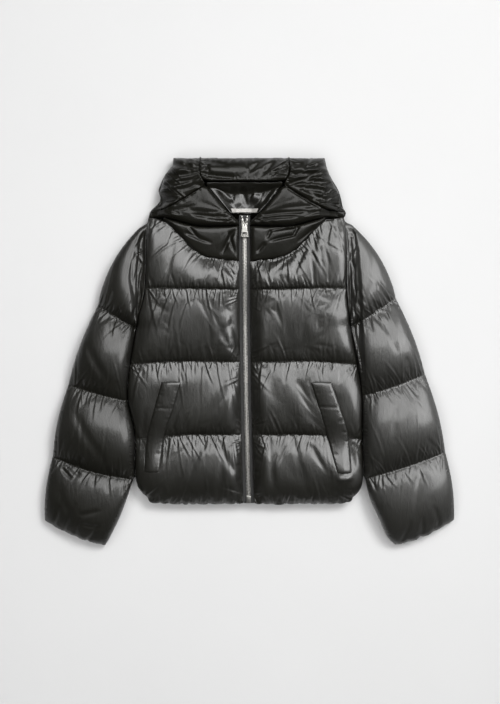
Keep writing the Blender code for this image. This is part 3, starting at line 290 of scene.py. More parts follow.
def crease_depth(x, y, creases, most=0.0065):
    """How deep the creases cut at each place: troughs that start deep and fade out."""
    depth = np.zeros_like(x)
    for *line, width, deep in creases:
        share, off = beside_line(x, y, line)
        near = (share > -0.15) & (share < 1.15) & (np.abs(off) < 3.0 * width)
        fade = ease((share[near] + 0.15) / 0.3) * ease((1.15 - share[near]) / 0.6)
        depth[near] += deep * fade * np.exp(-(off[near] / width) ** 2)
    return most * np.tanh(depth / most)


def gathers(seed, path_x, path_y, way, spacing, reach, depth, slant=0.35, lean=0.0,
            width=0.0032):
    """Creases that stand on a seam line on one side of it, no two alike."""
    chance = random.Random(seed)
    run = run_of(np.c_[path_x, path_y])
    made, at = [], spacing * chance.random()
    while at < run[-1]:
        ahead = min(at + 0.004, run[-1])
        (x, y), (x0, y0), (x1, y1) = [
            (np.interp(place, run, path_x), np.interp(place, run, path_y))
            for place in (at, ahead - 0.008, ahead)]
        size = math.hypot(x1 - x0, y1 - y0)
        angle = math.atan2(way * (x1 - x0) / size, way * (y0 - y1) / size) + lean \
            + slant * chance.uniform(-1, 1)
        big = chance.random() ** 2
        long = reach * (0.55 + 1.7 * big)
        made.append((x, y, x + long * math.cos(angle), y + long * math.sin(angle),
                     width * (0.75 + 0.8 * big), depth * (0.6 + 0.6 * chance.random())))
        at += spacing * chance.uniform(0.6, 1.5)
    return made


def puckers(seed, path_x, path_y, way, fine=0.0052, long=0.0125, lean=0.0, reach=1.0):
    """Lines of the small sharp ridges that a seam pulls up on one side of it, of three sizes."""
    sizes = ((fine, 0.008, 0.00070, 0.35, 0.0011), (long, 0.024, 0.00080, 0.50, 0.0013),
             (1.6 * long, 0.046, 0.00075, 0.45, 0.0016))
    lines = []
    for number, (spacing, far, tall, slant, width) in enumerate(sizes):
        lines += gathers(seed + number, path_x, path_y, way, spacing, far * reach, tall, slant,
                         lean, width)
    return lines


# --- making meshes --------------------------------------------------------------------------

def deselect():
    if bpy.context.object and bpy.context.object.mode != "OBJECT":
        bpy.ops.object.mode_set(mode="OBJECT")
    bpy.ops.object.select_all(action="DESELECT")


def make_active(piece):
    deselect()
    piece.select_set(True)
    bpy.context.view_layer.objects.active = piece


def new_piece(name):
    """The primitive just added, named."""
    piece = bpy.context.active_object
    piece.name = piece.data.name = name
    return piece


def vectors(elements, what="co"):
    """A three-number property of all vertices or faces, one row each."""
    values = np.empty(3 * len(elements))
    elements.foreach_get(what, values)
    return values.reshape(-1, 3)


def points_of(piece):
    return vectors(piece.data.vertices)


def set_points(piece, places):
    piece.data.vertices.foreach_set("co", np.ascontiguousarray(places, dtype=np.float64).ravel())
    piece.data.update()


def flat_panel(name, columns, rows, side=-1):
    """A cut panel, still flat, and each point's place u across it and v along it.

    On the left side u is turned round, so that on both it runs from the outer edge to the zip.
    """
    deselect()
    bpy.ops.mesh.primitive_grid_add(x_subdivisions=columns, y_subdivisions=rows, size=1.0)
    piece = new_piece(name)
    u, v = points_of(piece)[:, :2].T + 0.5
    return piece, 1.0 - u if side > 0 else u, v


def face_outwards(piece, places):
    """Turns the faces over where they look in, because the filling pushes along them."""
    centres, normals = (vectors(piece.data.polygons, what) for what in ("center", "normal"))
    middle = np.array((*places[:, :2].mean(axis=0), places[:, 2].min()))
    if ((centres - middle) * normals).sum() < 0.0:
        piece.data.flip_normals()


CLOTH_FRAMES = 22


def add_cloth(piece, sewn, along=(0.0, 1.0), spare_along=0.015, spare_across=0.12, pressure=3.0):
    """Cloth with spare width between its sewn points, blown out by its filling."""
    places = points_of(piece)
    face_outwards(piece, places)
    flat = np.array((along[0], along[1], 0.0))
    flat /= np.linalg.norm(flat)
    cross = np.array((flat[1], -flat[0], 0.0))
    offset = places - places.mean(axis=0)
    cut = places + np.outer(offset @ flat, flat) * spare_along \
        + np.outer(offset @ cross, cross) * spare_across
    piece.shape_key_add(name="sewn")
    key = piece.shape_key_add(name="cut")
    key.data.foreach_set("co", cut.ravel())
    group = piece.vertex_groups.new(name="stitched")
    group.add(np.nonzero(sewn)[0].tolist(), 1.0, "REPLACE")
    cloth = piece.modifiers.new("filling", "CLOTH")
    how = cloth.settings
    how.quality = 5
    how.mass = 0.1
    how.tension_stiffness = how.compression_stiffness = 15.0
    how.shear_stiffness = 5.0
    how.bending_stiffness = 0.02
    how.bending_damping = 0.5
    how.vertex_group_mass = "stitched"
    how.use_pressure = True
    how.uniform_pressure_force = pressure
    how.rest_shape_key = key
    how.effector_weights.gravity = 0.0
    cloth.collision_settings.use_collision = False
    cloth.point_cache.frame_start = 1
    cloth.point_cache.frame_end = CLOTH_FRAMES


def settle(pieces, farthest=0.012):
    """Runs the cloth of several pieces at once and keeps its result, no point too far off."""
    starts = [points_of(piece) for piece in pieces]
    ends = starts
    for step in range(1, CLOTH_FRAMES + 1):
        bpy.context.scene.frame_set(step)
    ready = bpy.context.evaluated_depsgraph_get()
    ends = [points_of(piece.evaluated_get(ready)) for piece in pieces]
    for piece, start, end in zip(pieces, starts, ends):
        piece.modifiers.clear()
        piece.shape_key_clear()
        moved = end - start
        size = np.linalg.norm(moved, axis=1)
        share = farthest * np.tanh(size / farthest) / np.maximum(size, 1e-9)
        set_points(piece, start + moved * share[:, None])
    bpy.context.scene.frame_set(1)


def apply_modifier(piece, kind, **values):
    make_active(piece)
    modifier = piece.modifiers.new(kind.lower(), kind)
    for word, value in values.items():
        setattr(modifier, word, value)
    bpy.ops.object.modifier_apply(modifier=modifier.name)


def subdivide_smooth(piece):
    apply_modifier(piece, "SUBSURF", levels=1, render_levels=1)


def press_ridges(piece, ridges, most=0.0016):
    """Raises sharp ridges, each with a trough beside it, on the upper side of a piece."""
    places, normals = points_of(piece), vectors(piece.data.vertices, "normal")
    x, y = places[:, 0], places[:, 1]
    by_y = np.argsort(y)
    sorted_y = y[by_y]
    rise = np.zeros(len(x))
    for *line, width, tall in ridges:
        x0, y0, x1, y1 = line
        margin = 0.2 * math.hypot(x1 - x0, y1 - y0) + 5.0 * width
        low, high = np.searchsorted(sorted_y, (min(y0, y1) - margin, max(y0, y1) + margin))
        near = by_y[low:high]
        near = near[np.abs(x[near] - (x0 + x1) / 2) < abs(x1 - x0) / 2 + margin]
        share, off = beside_line(x[near], y[near], line)
        fade = ease((share + 0.03) / 0.10) * ease((1.10 - share) / 0.75)
        wide = width * (0.75 + 0.6 * np.clip(share, 0.0, 1.0))
        trough = np.exp(-((off - 2.0 * wide) / (1.3 * wide)) ** 2)
        rise[near] += tall * fade * (np.exp(-(off / wide) ** 2) - 0.75 * trough)
    rise = most * np.tanh(rise / most) * np.clip(1.6 * normals[:, 2], 0.0, 1.0)
    set_points(piece, places + normals * rise[:, None])


def edit(piece):
    make_active(piece)
    bpy.ops.object.mode_set(mode="EDIT")


def select_where(piece, kind, test):
    """In edit mode, selects only the edges or faces that pass a test."""
    bpy.ops.mesh.select_mode(type=kind)
    bpy.ops.mesh.select_all(action="DESELECT")
    bm = bmesh.from_edit_mesh(piece.data)
    for element in bm.edges if kind == "EDGE" else bm.faces:
        element.select = test(element)
    bmesh.update_edit_mesh(piece.data)


def move_selected(piece, place):
    """Moves the points selected in edit mode to place(x, y, z)."""
    bm = bmesh.from_edit_mesh(piece.data)
    for vert in bm.verts:
        if vert.select:
            vert.co = Vector(place(*vert.co))
    bmesh.update_edit_mesh(piece.data)


def leave_facing_out():
    """Leaves edit mode with every face pointing outwards."""
    bpy.ops.mesh.select_all(action="SELECT")
    bpy.ops.mesh.normals_make_consistent(inside=False)
    bpy.ops.object.mode_set(mode="OBJECT")


def close_under(piece, *steps):
    """Turns the open border under, one extrusion per step, and fills it."""
    edit(piece)
    select_where(piece, "EDGE", lambda edge: edge.is_boundary)
    for place in steps:
        bpy.ops.mesh.extrude_edges_move()
        move_selected(piece, place)
    bpy.ops.mesh.edge_face_add()
    leave_facing_out()


def give(piece, material, slot, *nodes, body="jacket", smooth=True, sharp=None):
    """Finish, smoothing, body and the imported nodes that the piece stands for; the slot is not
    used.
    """
    make_active(piece)
    if smooth:
        if sharp:
            bpy.ops.object.shade_smooth_by_angle(angle=math.radians(sharp))
        else:
            bpy.ops.object.shade_smooth()
    piece.data.materials.clear()
    piece.data.materials.append(material)
    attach(piece, body)
    if nodes:
        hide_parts(*nodes)
    return piece


def repeated(name, master, frames):
    """One mesh with a copy of the master at each frame, given as 4x4 matrices."""
    points = np.c_[points_of(master), np.ones(len(master.data.vertices))]
    faces = [tuple(face.vertices) for face in master.data.polygons]
    all_points, all_faces = [], []
    for number, placed in enumerate(frames):
        all_points.append((points @ np.array(placed).T)[:, :3])
        start = number * len(points)
        all_faces += [tuple(start + i for i in face) for face in faces]
    mesh = bpy.data.meshes.new(name)
    mesh.from_pydata(np.concatenate(all_points).tolist(), [], all_faces)
    piece = bpy.data.objects.new(name, mesh)
    bpy.context.scene.collection.objects.link(piece)
    bpy.data.objects.remove(master, do_unlink=True)
    return piece


# --- materials ------------------------------------------------------------------------------

class Finish:
    """A node material: small helpers to add nodes and join them."""

    def __init__(self, name, **values):
        self.material = bpy.data.materials.new(name)
        self.material.use_nodes = True
        self.tree = self.material.node_tree
        self.shader = self.tree.nodes["Principled BSDF"]
        for word, value in values.items():
            self.shader.inputs[word.replace("_", " ")].default_value = value

    def add(self, kind, **values):
        node = self.tree.nodes.new(kind)
        for word, value in values.items():
            if hasattr(node, word):
                setattr(node, word, value)
            else:
                node.inputs[word.replace("_", " ")].default_value = value
        return node

    def join(self, output, target):
        self.tree.links.new(output, target)

    def place(self, scale=(1, 1, 1), turn=0.0):
        coordinate = self.add("ShaderNodeTexCoord")
        mapping = self.add("ShaderNodeMapping", Scale=scale, Rotation=(0.0, 0.0, turn))
        self.join(coordinate.outputs["Object"], mapping.inputs["Vector"])
        return mapping.outputs["Vector"]

    def noise(self, vector, scale, detail=3.0, roughness=0.5, distortion=0.0):
        node = self.add("ShaderNodeTexNoise", Scale=scale, Detail=detail, Roughness=roughness,
                        Distortion=distortion)
        self.join(vector, node.inputs["Vector"])
        return node.outputs["Fac"]

    def wave(self, vector, scale, direction="X"):
        node = self.add("ShaderNodeTexWave", Scale=scale, bands_direction=direction)
        self.join(vector, node.inputs["Vector"])
        return node.outputs["Fac"]

    def spread(self, value, low, high):
        node = self.add("ShaderNodeMapRange", From_Min=0.25, From_Max=0.75, To_Min=low,
                        To_Max=high)
        self.join(value, node.inputs["Value"])
        return node.outputs["Result"]

    def colour(self, value, low, high):
        node = self.add("ShaderNodeValToRGB")
        for stop, place, tint in zip(node.color_ramp.elements, (0.3, 0.7), (low, high)):
            stop.position, stop.color = place, (*tint, 1.0)
        self.join(value, node.inputs["Fac"])
        self.join(node.outputs["Color"], self.shader.inputs["Base Color"])

    def bump(self, height, distance, strength=1.0, before=None):
        node = self.add("ShaderNodeBump", Distance=distance, Strength=strength)
        self.join(height, node.inputs["Height"])
        if before is not None:
            self.join(before, node.inputs["Normal"])
        return node.outputs["Normal"]

    def weave(self, pitch, turn=0.0):
        """Over-and-under of two thread directions, one pitch apart."""
        vector = self.place((1.0 / pitch, 1.0 / pitch, 1.0 / pitch), turn)
        across, along = (self.wave(vector, ONE_WAVE, way) for way in "XY")
        both = self.add("ShaderNodeMath", operation="MULTIPLY")
        self.join(across, both.inputs[0])
        self.join(along, both.inputs[1])
        return both.outputs[0]

    def surface(self, normal):
        self.join(normal, self.shader.inputs["Normal"])


ONE_WAVE = 0.31416                # the scale at which a wave texture repeats once a unit


def nylon(name, turn=0.0, low=(0.0054, 0.0052, 0.0038), high=(0.0074, 0.0071, 0.0054),
          roughness=(0.42, 0.52), specular=0.40, coat=0.51, coat_roughness=0.20):
    """Down-proof coated nylon: glossy, finely crinkled along the pull of its gathers."""
    finish = Finish(name, Coat_Weight=coat, Coat_Roughness=coat_roughness, Coat_IOR=1.45,
                    Specular_IOR_Level=specular)
    crinkle = finish.noise(finish.place((1.0, 0.26, 0.7), turn), 105.0, detail=4.0,
                           roughness=0.58, distortion=0.6)
    fine = finish.noise(finish.place((1.0, 0.6, 1.0), turn), 420.0, detail=2.0)
    normal = finish.bump(crinkle, 0.0017, 0.62)
    normal = finish.bump(fine, 0.0002, 0.30, normal)
    finish.surface(finish.bump(finish.weave(0.0006, turn), 0.00005, 0.22, normal))
    finish.colour(finish.noise(finish.place(), 14.0, detail=2.0), low, high)
    finish.join(finish.spread(finish.noise(finish.place(), 30.0), *roughness),
                finish.shader.inputs["Roughness"])
    return finish.material


def ribbed(name, ribs, colours, depth, way="Y", turn=0.0, **shine):
    """Thread, tape or satin with fine ribs across it, and the bump of its ribs."""
    finish = Finish(name, **shine)
    rib = finish.wave(finish.place(turn=turn), ribs, way)
    finish.colour(rib, *colours)
    return finish, finish.bump(rib, *depth)


def zip_tape_cloth(name):
    finish, ribs = ribbed(name, 160.0, ((0.006, 0.006, 0.006), (0.020, 0.020, 0.019)),
                          (0.0003, 0.6), Roughness=0.85, Sheen_Weight=0.25, Sheen_Roughness=0.5)
    finish.surface(finish.bump(finish.weave(0.0008), 0.0001, 0.5, ribs))
    return finish.material


def label_satin(name):
    finish, ribs = ribbed(name, 420.0, ((0.27, 0.26, 0.245), (0.38, 0.37, 0.35)), (0.0001, 0.5),
                          Roughness=0.45, Sheen_Weight=0.3, Sheen_Roughness=0.4)
    finish.surface(ribs)
    return finish.material


def thread(name):
    finish, twist = ribbed(name, 900.0, ((0.010, 0.010, 0.010), (0.034, 0.033, 0.031)),
                           (0.0001, 0.6), "X", 0.7, Roughness=0.5, Sheen_Weight=0.2)
    finish.surface(twist)
    return finish.material


def zip_metal(name, tint, roughness):
    """Cast or pressed zip metal, rubbed along its length."""
    finish = Finish(name, Metallic=1.0, Base_Color=(*tint, 1.0))
    rubbed = finish.noise(finish.place((1.0, 0.2, 1.0)), 900.0, detail=2.0)
    finish.join(finish.spread(rubbed, *roughness), finish.shader.inputs["Roughness"])
    finish.colour(finish.noise(finish.place(), 260.0, detail=2.0),
                  tuple(0.82 * c for c in tint), tint)
    finish.surface(finish.bump(rubbed, 0.00005, 0.3))
    return finish.material


body_nylon = nylon("nylon_body")
# The sleeves are one nylon in two copies that paint light: the wearer's right one has less sheen,
# painted shade on the sleeve turned away from the lamps, and the left one more, painted light on
# the sleeve turned towards them.
shaded_sleeve_nylon = nylon("nylon_sleeve_right_shaded", turn=-0.30, roughness=(0.44, 0.54), specular=0.30,
                    coat=0.30)
lit_sleeve_nylon = nylon("nylon_sleeve_left_lit", turn=0.30, roughness=(0.50, 0.60), specular=0.56,
                   coat=0.42)
# The hood and collar are the body's nylon with far less sheen: painted shade, darkening the
# raised hood and the collar under the wings.
shaded_hood_nylon = nylon("nylon_hood_shaded", turn=math.pi / 2, roughness=(0.30, 0.38), specular=0.11,
                   coat=0.09, coat_roughness=0.12)
shaded_collar_nylon = nylon("nylon_collar_shaded", turn=0.4, roughness=(0.34, 0.42), specular=0.16, coat=0.11,
                     coat_roughness=0.16)
inner_nylon = nylon("nylon_inside", roughness=(0.28, 0.36), specular=0.35, coat=0.2,
                    coat_roughness=0.16)
tape_cloth = zip_tape_cloth("zip_tape")
tooth_metal = zip_metal("zip_teeth", (0.40, 0.39, 0.37), (0.50, 0.62))
slider_metal = zip_metal("zip_slider", (0.36, 0.355, 0.335), (0.34, 0.46))
label_cloth = label_satin("label_satin")
sewing_thread = thread("sewing_thread")


# --- fronts ---------------------------------------------------------------------------------

FRONT_COLUMNS = 86
BAFFLE_ROWS = (54, 56, 56, 40)    # grid rows of each baffle, from the hem up
BAFFLE_TOPS = np.array((0.0345, 0.0345, 0.0345, 0.0400))
BAFFLE_SAG = np.array((0.86, 0.68, 0.70, 0.50))  # under 1, the fullest line lies low
SIDE_LIP, ARMHOLE_LIP, NECK_LIP, ZIP_LIP = 0.0035, 0.0130, 0.0230, 0.0090
SIDE_ROLL, ARMHOLE_ROLL, ZIP_ROLL = 0.056, 0.046, 0.030
SEAM_PULL = 0.10                  # how far the puckers lean away from the zip
PUCKER_WIDTH = 0.0026
CREASE_SHARE, BAFFLE_BULGE = 0.75, 0.0022
BROAD_DIP, WELT_DIP, BROAD_DIP_REACH = 0.0050, 0.0038, 0.040


def cross_seam_y(row, u):
    """Height on the plan of a cross seam, u from the side seam to the zip."""
    return smooth_read(np.c_[ROW_STOPS, row[:4]], 1, u)


def front_row(side, k, u):
    """Plan of a front's cross row: the hem, three quilting seams, then the neck."""
    if k < len(FRONT_ROWS):
        row = FRONT_ROWS[k]
        outer = side_x(BODY_SIDES, side, row[0]) - side * SEAM_GAP
        inner = zip_x(row[3]) + side * ZIP_HALF_TAPE
        return mix(outer, inner, u), cross_seam_y(row, u)
    outer = side_x(BODY_SIDES, side, SHOULDER_Y) - side * SEAM_GAP
    x = mix(outer, zip_x(NECK_SEAM[0, 1]) + side * ZIP_HALF_TAPE, u)
    return x, smooth_read(NECK_SEAM, 1, np.abs(x - ZIP_TOP_X)) - SEAM_GAP


def pocket_share(side, x, y, reach=0.0046):
    """1 under a pocket welt and 0 away from it, fading out over the reach."""
    table = RIGHT_POCKET if side < 0 else LEFT_POCKET
    outer, inner = smooth_read(table, 1, y), smooth_read(table, 2, y)
    off = np.abs(x - (outer + inner) / 2) - np.abs(outer - inner) / 2
    from_end = np.minimum(y - table[0, 0], table[-1, 0] - y)
    return (1.0 - ease((off + 0.0052) / reach)) * ease((from_end - 0.001) / (reach + 0.0014))


def front_creases(side):
    """The folds, the gathers on both sides of every seam and those beside the zip."""
    creases, line = list(BODY_FOLDS), np.linspace(0.0, 1.0, 120)
    for i in range(5):
        path = front_row(side, i, line)
        if i < 4:
            creases += gathers(100 * i + side, *path, -side, spacing=0.0090 if i else 0.0085,
                               reach=0.018 if i else 0.017, depth=0.0022,
                               lean=SEAM_PULL * side, width=PUCKER_WIDTH)
        if i > 0:
            creases += gathers(100 * i + 50 + side, *path, side, spacing=0.0085,
                               reach=0.024 if i < 4 else 0.018,
                               depth=0.0024 if i < 4 else 0.0018,
                               lean=-SEAM_PULL * side, width=PUCKER_WIDTH)
    for i in range(3):
        low, high = FRONT_ROWS[i][3], FRONT_ROWS[i + 1][3]
        ys = np.linspace(mix(low, high, 0.05), high - 0.008, 30)
        creases += gathers(100 * i + 9 + side, zip_x(ys) + side * ZIP_HALF_TAPE, ys, -side,
                           spacing=0.020, reach=0.014, depth=0.0022, slant=0.6)
    return creases


def seam_orders(level, x, shown=True):
    """The point numbers along each of the three quilting seams, in the order of x."""
    orders = []
    for i in (1, 2, 3):
        on = np.nonzero((np.abs(level - i) < 1e-3) & shown)[0]
        orders.append(on[np.argsort(x[on])])
    return orders


def front(name, side):
    """A quilted front: four baffles, rolled down to the side seam and to the zip."""
    piece, u, v = flat_panel(name, FRONT_COLUMNS, sum(BAFFLE_ROWS), side)
    level = np.interp(v, np.cumsum((0, *BAFFLE_ROWS)) / sum(BAFFLE_ROWS), range(5))
    k = np.clip((level + 1e-6).astype(int), 0, 3)
    t = np.clip(level - k, 0.0, 1.0)
    rows, each = np.array([front_row(side, i, u) for i in range(5)]), np.arange(len(u))
    x, y = mix(rows[k, :, each].T, rows[k + 1, :, each].T, t)
    edge_x = side_x(BODY_SIDES, side, y) - side * SEAM_GAP
    x = np.where(u < 0.25, mix(edge_x, x, ease(u * 4.0)), x)

    lips = np.array([row[4] for row in FRONT_ROWS] + [NECK_LIP])
    seam = mix(lips[k], lips[k + 1], ease(t))
    arch = np.maximum(1.0 - (2.0 * t ** BAFFLE_SAG[k] - 1.0) ** 2, 0.0) ** 0.92
    loft = mix(seam, BAFFLE_TOPS[k], arch)
    width = np.abs(zip_x(y) - edge_x)
    armhole = ease((y - ARMPIT_Y) / 0.03) * ease((SHOULDER_Y + 0.005 - y) / 0.04)
    for away, roll, lip in ((u * width, mix(SIDE_ROLL, ARMHOLE_ROLL, armhole),
                             mix(SIDE_LIP, ARMHOLE_LIP, armhole)),
                            ((1.0 - u) * width, ZIP_ROLL, ZIP_LIP + zip_rise(y))):
        loft = mix(lip, loft, np.sin(np.clip(away / roll, 0, 1) * math.pi / 2) ** 0.8)

    sewn = (np.abs(level - np.round(level)) < 1e-3) | (u < 1e-4) | (u > 1 - 1e-4)
    cut = CREASE_SHARE * crease_depth(x, y, front_creases(side))
    lowest = mix(np.minimum(seam, loft), loft, 0.10)
    bulge = np.choose(k, [uneven(740 + 9 * i + side, x + side * 0.45 * y, 0.040)
                          for i in range(4)])
    loft = np.where(sewn, loft, np.maximum(loft - cut, lowest) + BAFFLE_BULGE * arch * bulge)
    pocket = pocket_share(side, x, y)
    for share, deep in ((pocket_share(side, x, y, BROAD_DIP_REACH), BROAD_DIP),
                        (pocket, WELT_DIP)):
        loft -= deep * share * ease((loft - 0.014) / 0.012)

    cross = sewn & (u > 0.01) & (u < 0.99)
    hem = (k == 0) & (t < 0.5)
    y = y + np.where(cross & ~hem, 0.0009 * uneven(31 + side, x, 0.0075), 0.0)
    gathered = scallops(41 + side, x, 0.021) * ease(u / 0.06) * ease((1.0 - u) / 0.04)
    y = y - np.where(k == 0, (0.0046 * gathered - 0.0018) * ease(1.0 - t / 0.10), 0.0)
    wander = np.where(hem, 0.0022, 0.0016) * uneven(57 + side, x, 0.0070)
    set_points(piece, np.c_[x, y, PAD_BASE_Z + loft + np.where(cross, wander, 0.0)])
    add_cloth(piece, sewn | (pocket > 0.5), spare_across=0.070)
    return piece, seam_orders(level, x)


def front_ridges(side):
    """The fine puckers on both sides of a front's seams and beside its zip."""
    lines, line = [], np.linspace(0.0, 1.0, 120)
    for i in range(5):
        path = front_row(side, i, line)
        if i < 4:
            lines += puckers(800 + 10 * i + side, *path, -side, lean=SEAM_PULL * side, reach=0.8)
        if i > 0:
            lines += puckers(805 + 10 * i + side, *path, side, lean=-SEAM_PULL * side,
                             reach=1.25)
    for i, row in enumerate(FRONT_ROWS):
        for low, high, way, reach in ((0.004, 0.030, 1, 0.8), (-0.034, -0.004, -1, 0.9)):
            ys = np.linspace(max(row[3] + low, -0.295), row[3] + high, 20)
            if ys[-1] > ys[0]:
                lines += puckers(870 + 10 * i + side, zip_x(ys) + side * (ZIP_HALF_TAPE + 0.003),
                                 ys, -side, fine=0.0105, long=0.020, reach=0.75 * reach,
                                 lean=0.65 * side * way)
    return lines


# --- sleeves --------------------------------------------------------------------------------

SLEEVE_TOP_COLUMNS, SLEEVE_UNDER_COLUMNS, SLEEVE_ROWS = 66, 20, 54
SLEEVE_GROOVE, ARMHOLE_DEPTH = 0.0050, 0.0080
HEAD_BOW, EDGE_BOW = 0.016, 0.004  # how far the outer edge bows out between two seams
CUFF_TURNS = (                    # width share, height share, way in of each turn of a cuff
    (0.985, 0.80, 0.002), (0.975, 0.55, 0.010), (0.985, 0.75, 0.030), (0.97, 0.90, 0.060))


def sleeve_inner_x(side, y):
    upper = side_x(BODY_SIDES, side, y)
    lower = side_x(LOWER_SLEEVE_SIDES, side, y)
    return np.where(y > LOWER_SLEEVE_SIDES[0, 0], upper, lower) + side * SEAM_GAP


def sleeve_plan(side, rings, level, across):
    """Plan of a sleeve: level counts its seams from the head, across runs to its inner edge.

    With it come each place's share of its baffle and the sizes of the seams at its two ends.
    """
    level, across = np.broadcast_arrays(level, across)
    k = np.clip(level.astype(int), 0, len(rings) - 2)
    t = level - k
    a, b = rings[k].T, rings[k + 1].T
    run = np.hypot(b[0] - a[0], b[1] - a[1])
    arch = np.sin(math.pi * np.clip(t, 0, 1))
    outward = np.where(k == 0, HEAD_BOW * np.maximum(arch, 0) ** 0.8, EDGE_BOW * arch)
    out_x = mix(a[0], b[0], t) + side * np.abs((b[1] - a[1]) / run) * outward
    out_y = mix(a[1], b[1], t) + np.abs((b[0] - a[0]) / run) * outward
    in_y = mix(a[2], b[2], t)
    y = mix(out_y, in_y, across) - mix(a[3], b[3], t) * np.sin(math.pi * across)
    x = mix(out_x, sleeve_inner_x(side, in_y), across)
    head = ease(1.0 - level / 0.10)
    x = mix(x, side_x(BODY_SIDES, side, y) + side * SEAM_GAP, head)
    return x, y, t, a, b


def sleeve_line(side, rings, level, across):
    return sleeve_plan(side, rings, level, across)[:2]


def sleeve_seam(side, rings, number, across):
    """Plan of one seam round a sleeve, from 0 at its head to the cuff's edge."""
    return sleeve_line(side, rings, min(number, len(rings) - 1 - 1e-6), across)


def sleeve_creases(side, rings):
    """The folds of a sleeve, the gathers at its seams and those at its two edges."""
    creases, line = of_side(SLEEVE_FOLDS, side), np.linspace(0.03, 0.97, 80)
    for i in range(5):
        path = sleeve_seam(side, rings, i, line)
        if i > 0:
            creases += gathers(300 + 10 * i + side, *path, side,
                               spacing=0.0090 if i < 4 else 0.0085,
                               reach=0.018 if i < 4 else 0.024, depth=0.0022,
                               width=PUCKER_WIDTH)
        if i < 4:
            creases += gathers(305 + 10 * i + side, *path, -side, spacing=0.0085,
                               reach=0.024 if i else 0.010, depth=0.0024, slant=0.4,
                               width=PUCKER_WIDTH)
    for i in range(4):
        edge = np.linspace(i + 0.12, i + 0.88, 40)
        for at, way, number in ((0.02, side, 1), (0.98, -side, 2)):
            creases += gathers(400 + 20 * i + number + side,
                               *sleeve_line(side, rings, edge, at), way, spacing=0.022,
                               reach=0.024, depth=0.0022, slant=0.7)
    return creases


def weld(piece, *marks):
    """Merges the points that lie on each other and returns the marks of those that are left."""
    for number, values in enumerate(marks):
        mark = piece.data.attributes.new(f"mark{number}", "FLOAT", "POINT")
        mark.data.foreach_set("value", values.astype(float))
    edit(piece)
    bpy.ops.mesh.select_all(action="SELECT")
    bpy.ops.mesh.remove_doubles(threshold=0.00002)
    bpy.ops.object.mode_set(mode="OBJECT")
    left = [np.empty(len(piece.data.vertices)) for _ in marks]
    for number, values in enumerate(left):
        mark = piece.data.attributes[f"mark{number}"]
        mark.data.foreach_get("value", values)
        piece.data.attributes.remove(mark)
    return left


def sleeve(name, side, rings):
    """A quilted tube: u runs once round it from its outer edge, v from the cuff to its head."""
    columns, baffles = SLEEVE_TOP_COLUMNS + SLEEVE_UNDER_COLUMNS, len(rings) - 1
    piece, u, v = flat_panel(name, columns, SLEEVE_ROWS * baffles)
    level = (1.0 - v) * baffles
    share = SLEEVE_TOP_COLUMNS / columns
    top = u <= share + 1e-6
    turn = np.where(top, u / share, (1.0 - u) / (1.0 - share))
    across = mix(turn, 0.5 - 0.5 * np.cos(math.pi * turn), 0.5)
    skew = np.where(top, across ** 1.4, across)
    rise = 2.0 * np.sqrt(np.clip(skew * (1.0 - skew), 0.0, 0.25))
    x, y, t, a, b = sleeve_plan(side, rings, level, across)

    last = level >= baffles - 1
    swell = np.maximum(np.sin(math.pi * np.clip(t, 0, 1) ** np.where(last, 1.15, 1.2)), 0.0)
    swell = swell ** np.where(last, 0.58, 0.72)
    power = mix(0.58, 0.54, swell)
    edge_z = mix(a[5], b[5], t) + 0.010 * swell
    seam_z = mix(a[4], b[4], t)
    top_z = mix(edge_z, seam_z + a[6] * swell, rise ** power)
    lowest = mix(mix(edge_z, seam_z, rise ** power), top_z, 0.10)
    under_z = mix(edge_z, SLEEVE_GROOVE * (1.0 - swell), np.minimum(1.0, 1.3 * rise ** power))
    cut = 0.8 * crease_depth(x, y, sleeve_creases(side, rings)) * np.minimum(1.0, 1.4 * rise)
    z = np.where(top, np.maximum(top_z - cut, lowest), under_z)

    fold = ARMHOLE_FOLDS[side]
    beside = np.abs(smooth_read(fold, 1, y)) - np.abs(x)
    inwards = np.abs(x) - np.abs(sleeve_inner_x(side, y))
    loose = ease((beside + 0.001) / 0.006) * ease(inwards / 0.006) \
        * ease((y - fold[-1, 0]) / 0.03) * ease((fold[0, 0] - y) / 0.02)
    z = z - np.where(top, ARMHOLE_DEPTH * loose * ease((z - 0.022) / 0.012), 0.0)

    on_seam = np.abs(level - np.round(level)) < 1e-3
    z = z + np.where(on_seam & top, 0.0015 * uneven(71 + side, across, 0.05) * rise, 0.0)
    gathered = scallops(91 + side, across, 0.17) * rise
    y = y - (0.0040 * gathered - 0.0014) * ease((level - baffles + 0.10) / 0.10)
    cuff = on_seam & (level > baffles - 0.5)
    z = z + np.where(cuff & top, 0.0012 * uneven(93 + side, across, 0.05) * rise, 0.0)
    set_points(piece, np.c_[x, y, z])

    held = on_seam | (~top & (turn > 0.10) & (turn < 0.90))
    level, top, held = weld(piece, level, top, held)
    seams = seam_orders(level, points_of(piece)[:, 0], top > 0.5)
    add_cloth(piece, held > 0.5, along=rings[1, :2] - rings[-1, :2], spare_across=0.050,
              spare_along=0.004, pressure=2.2)
    return piece, seams


def sleeve_ridges(side, rings):
    """The fine puckers on both sides of a sleeve's seams and along its edges."""
    lines, line = of_side(ARMHOLE_RIDGES, side), np.linspace(0.02, 0.98, 100)
    for i in range(5):
        path = sleeve_seam(side, rings, i, line)
        if i > 0:
            lines += puckers(900 + 10 * i + side, *path, side, reach=0.8)
        if i < 4:
            lines += puckers(905 + 10 * i + side, *path, -side, reach=1.25 if i else 0.5)
    edge = np.linspace(0.1, 3.9, 200)
    for at, way, number in ((0.05, side, 1), (0.95, -side, 2)):
        lines += puckers(960 + 10 * number + side, *sleeve_line(side, rings, edge, at), way,
                         fine=0.012, long=0.030, reach=0.9)
    return lines


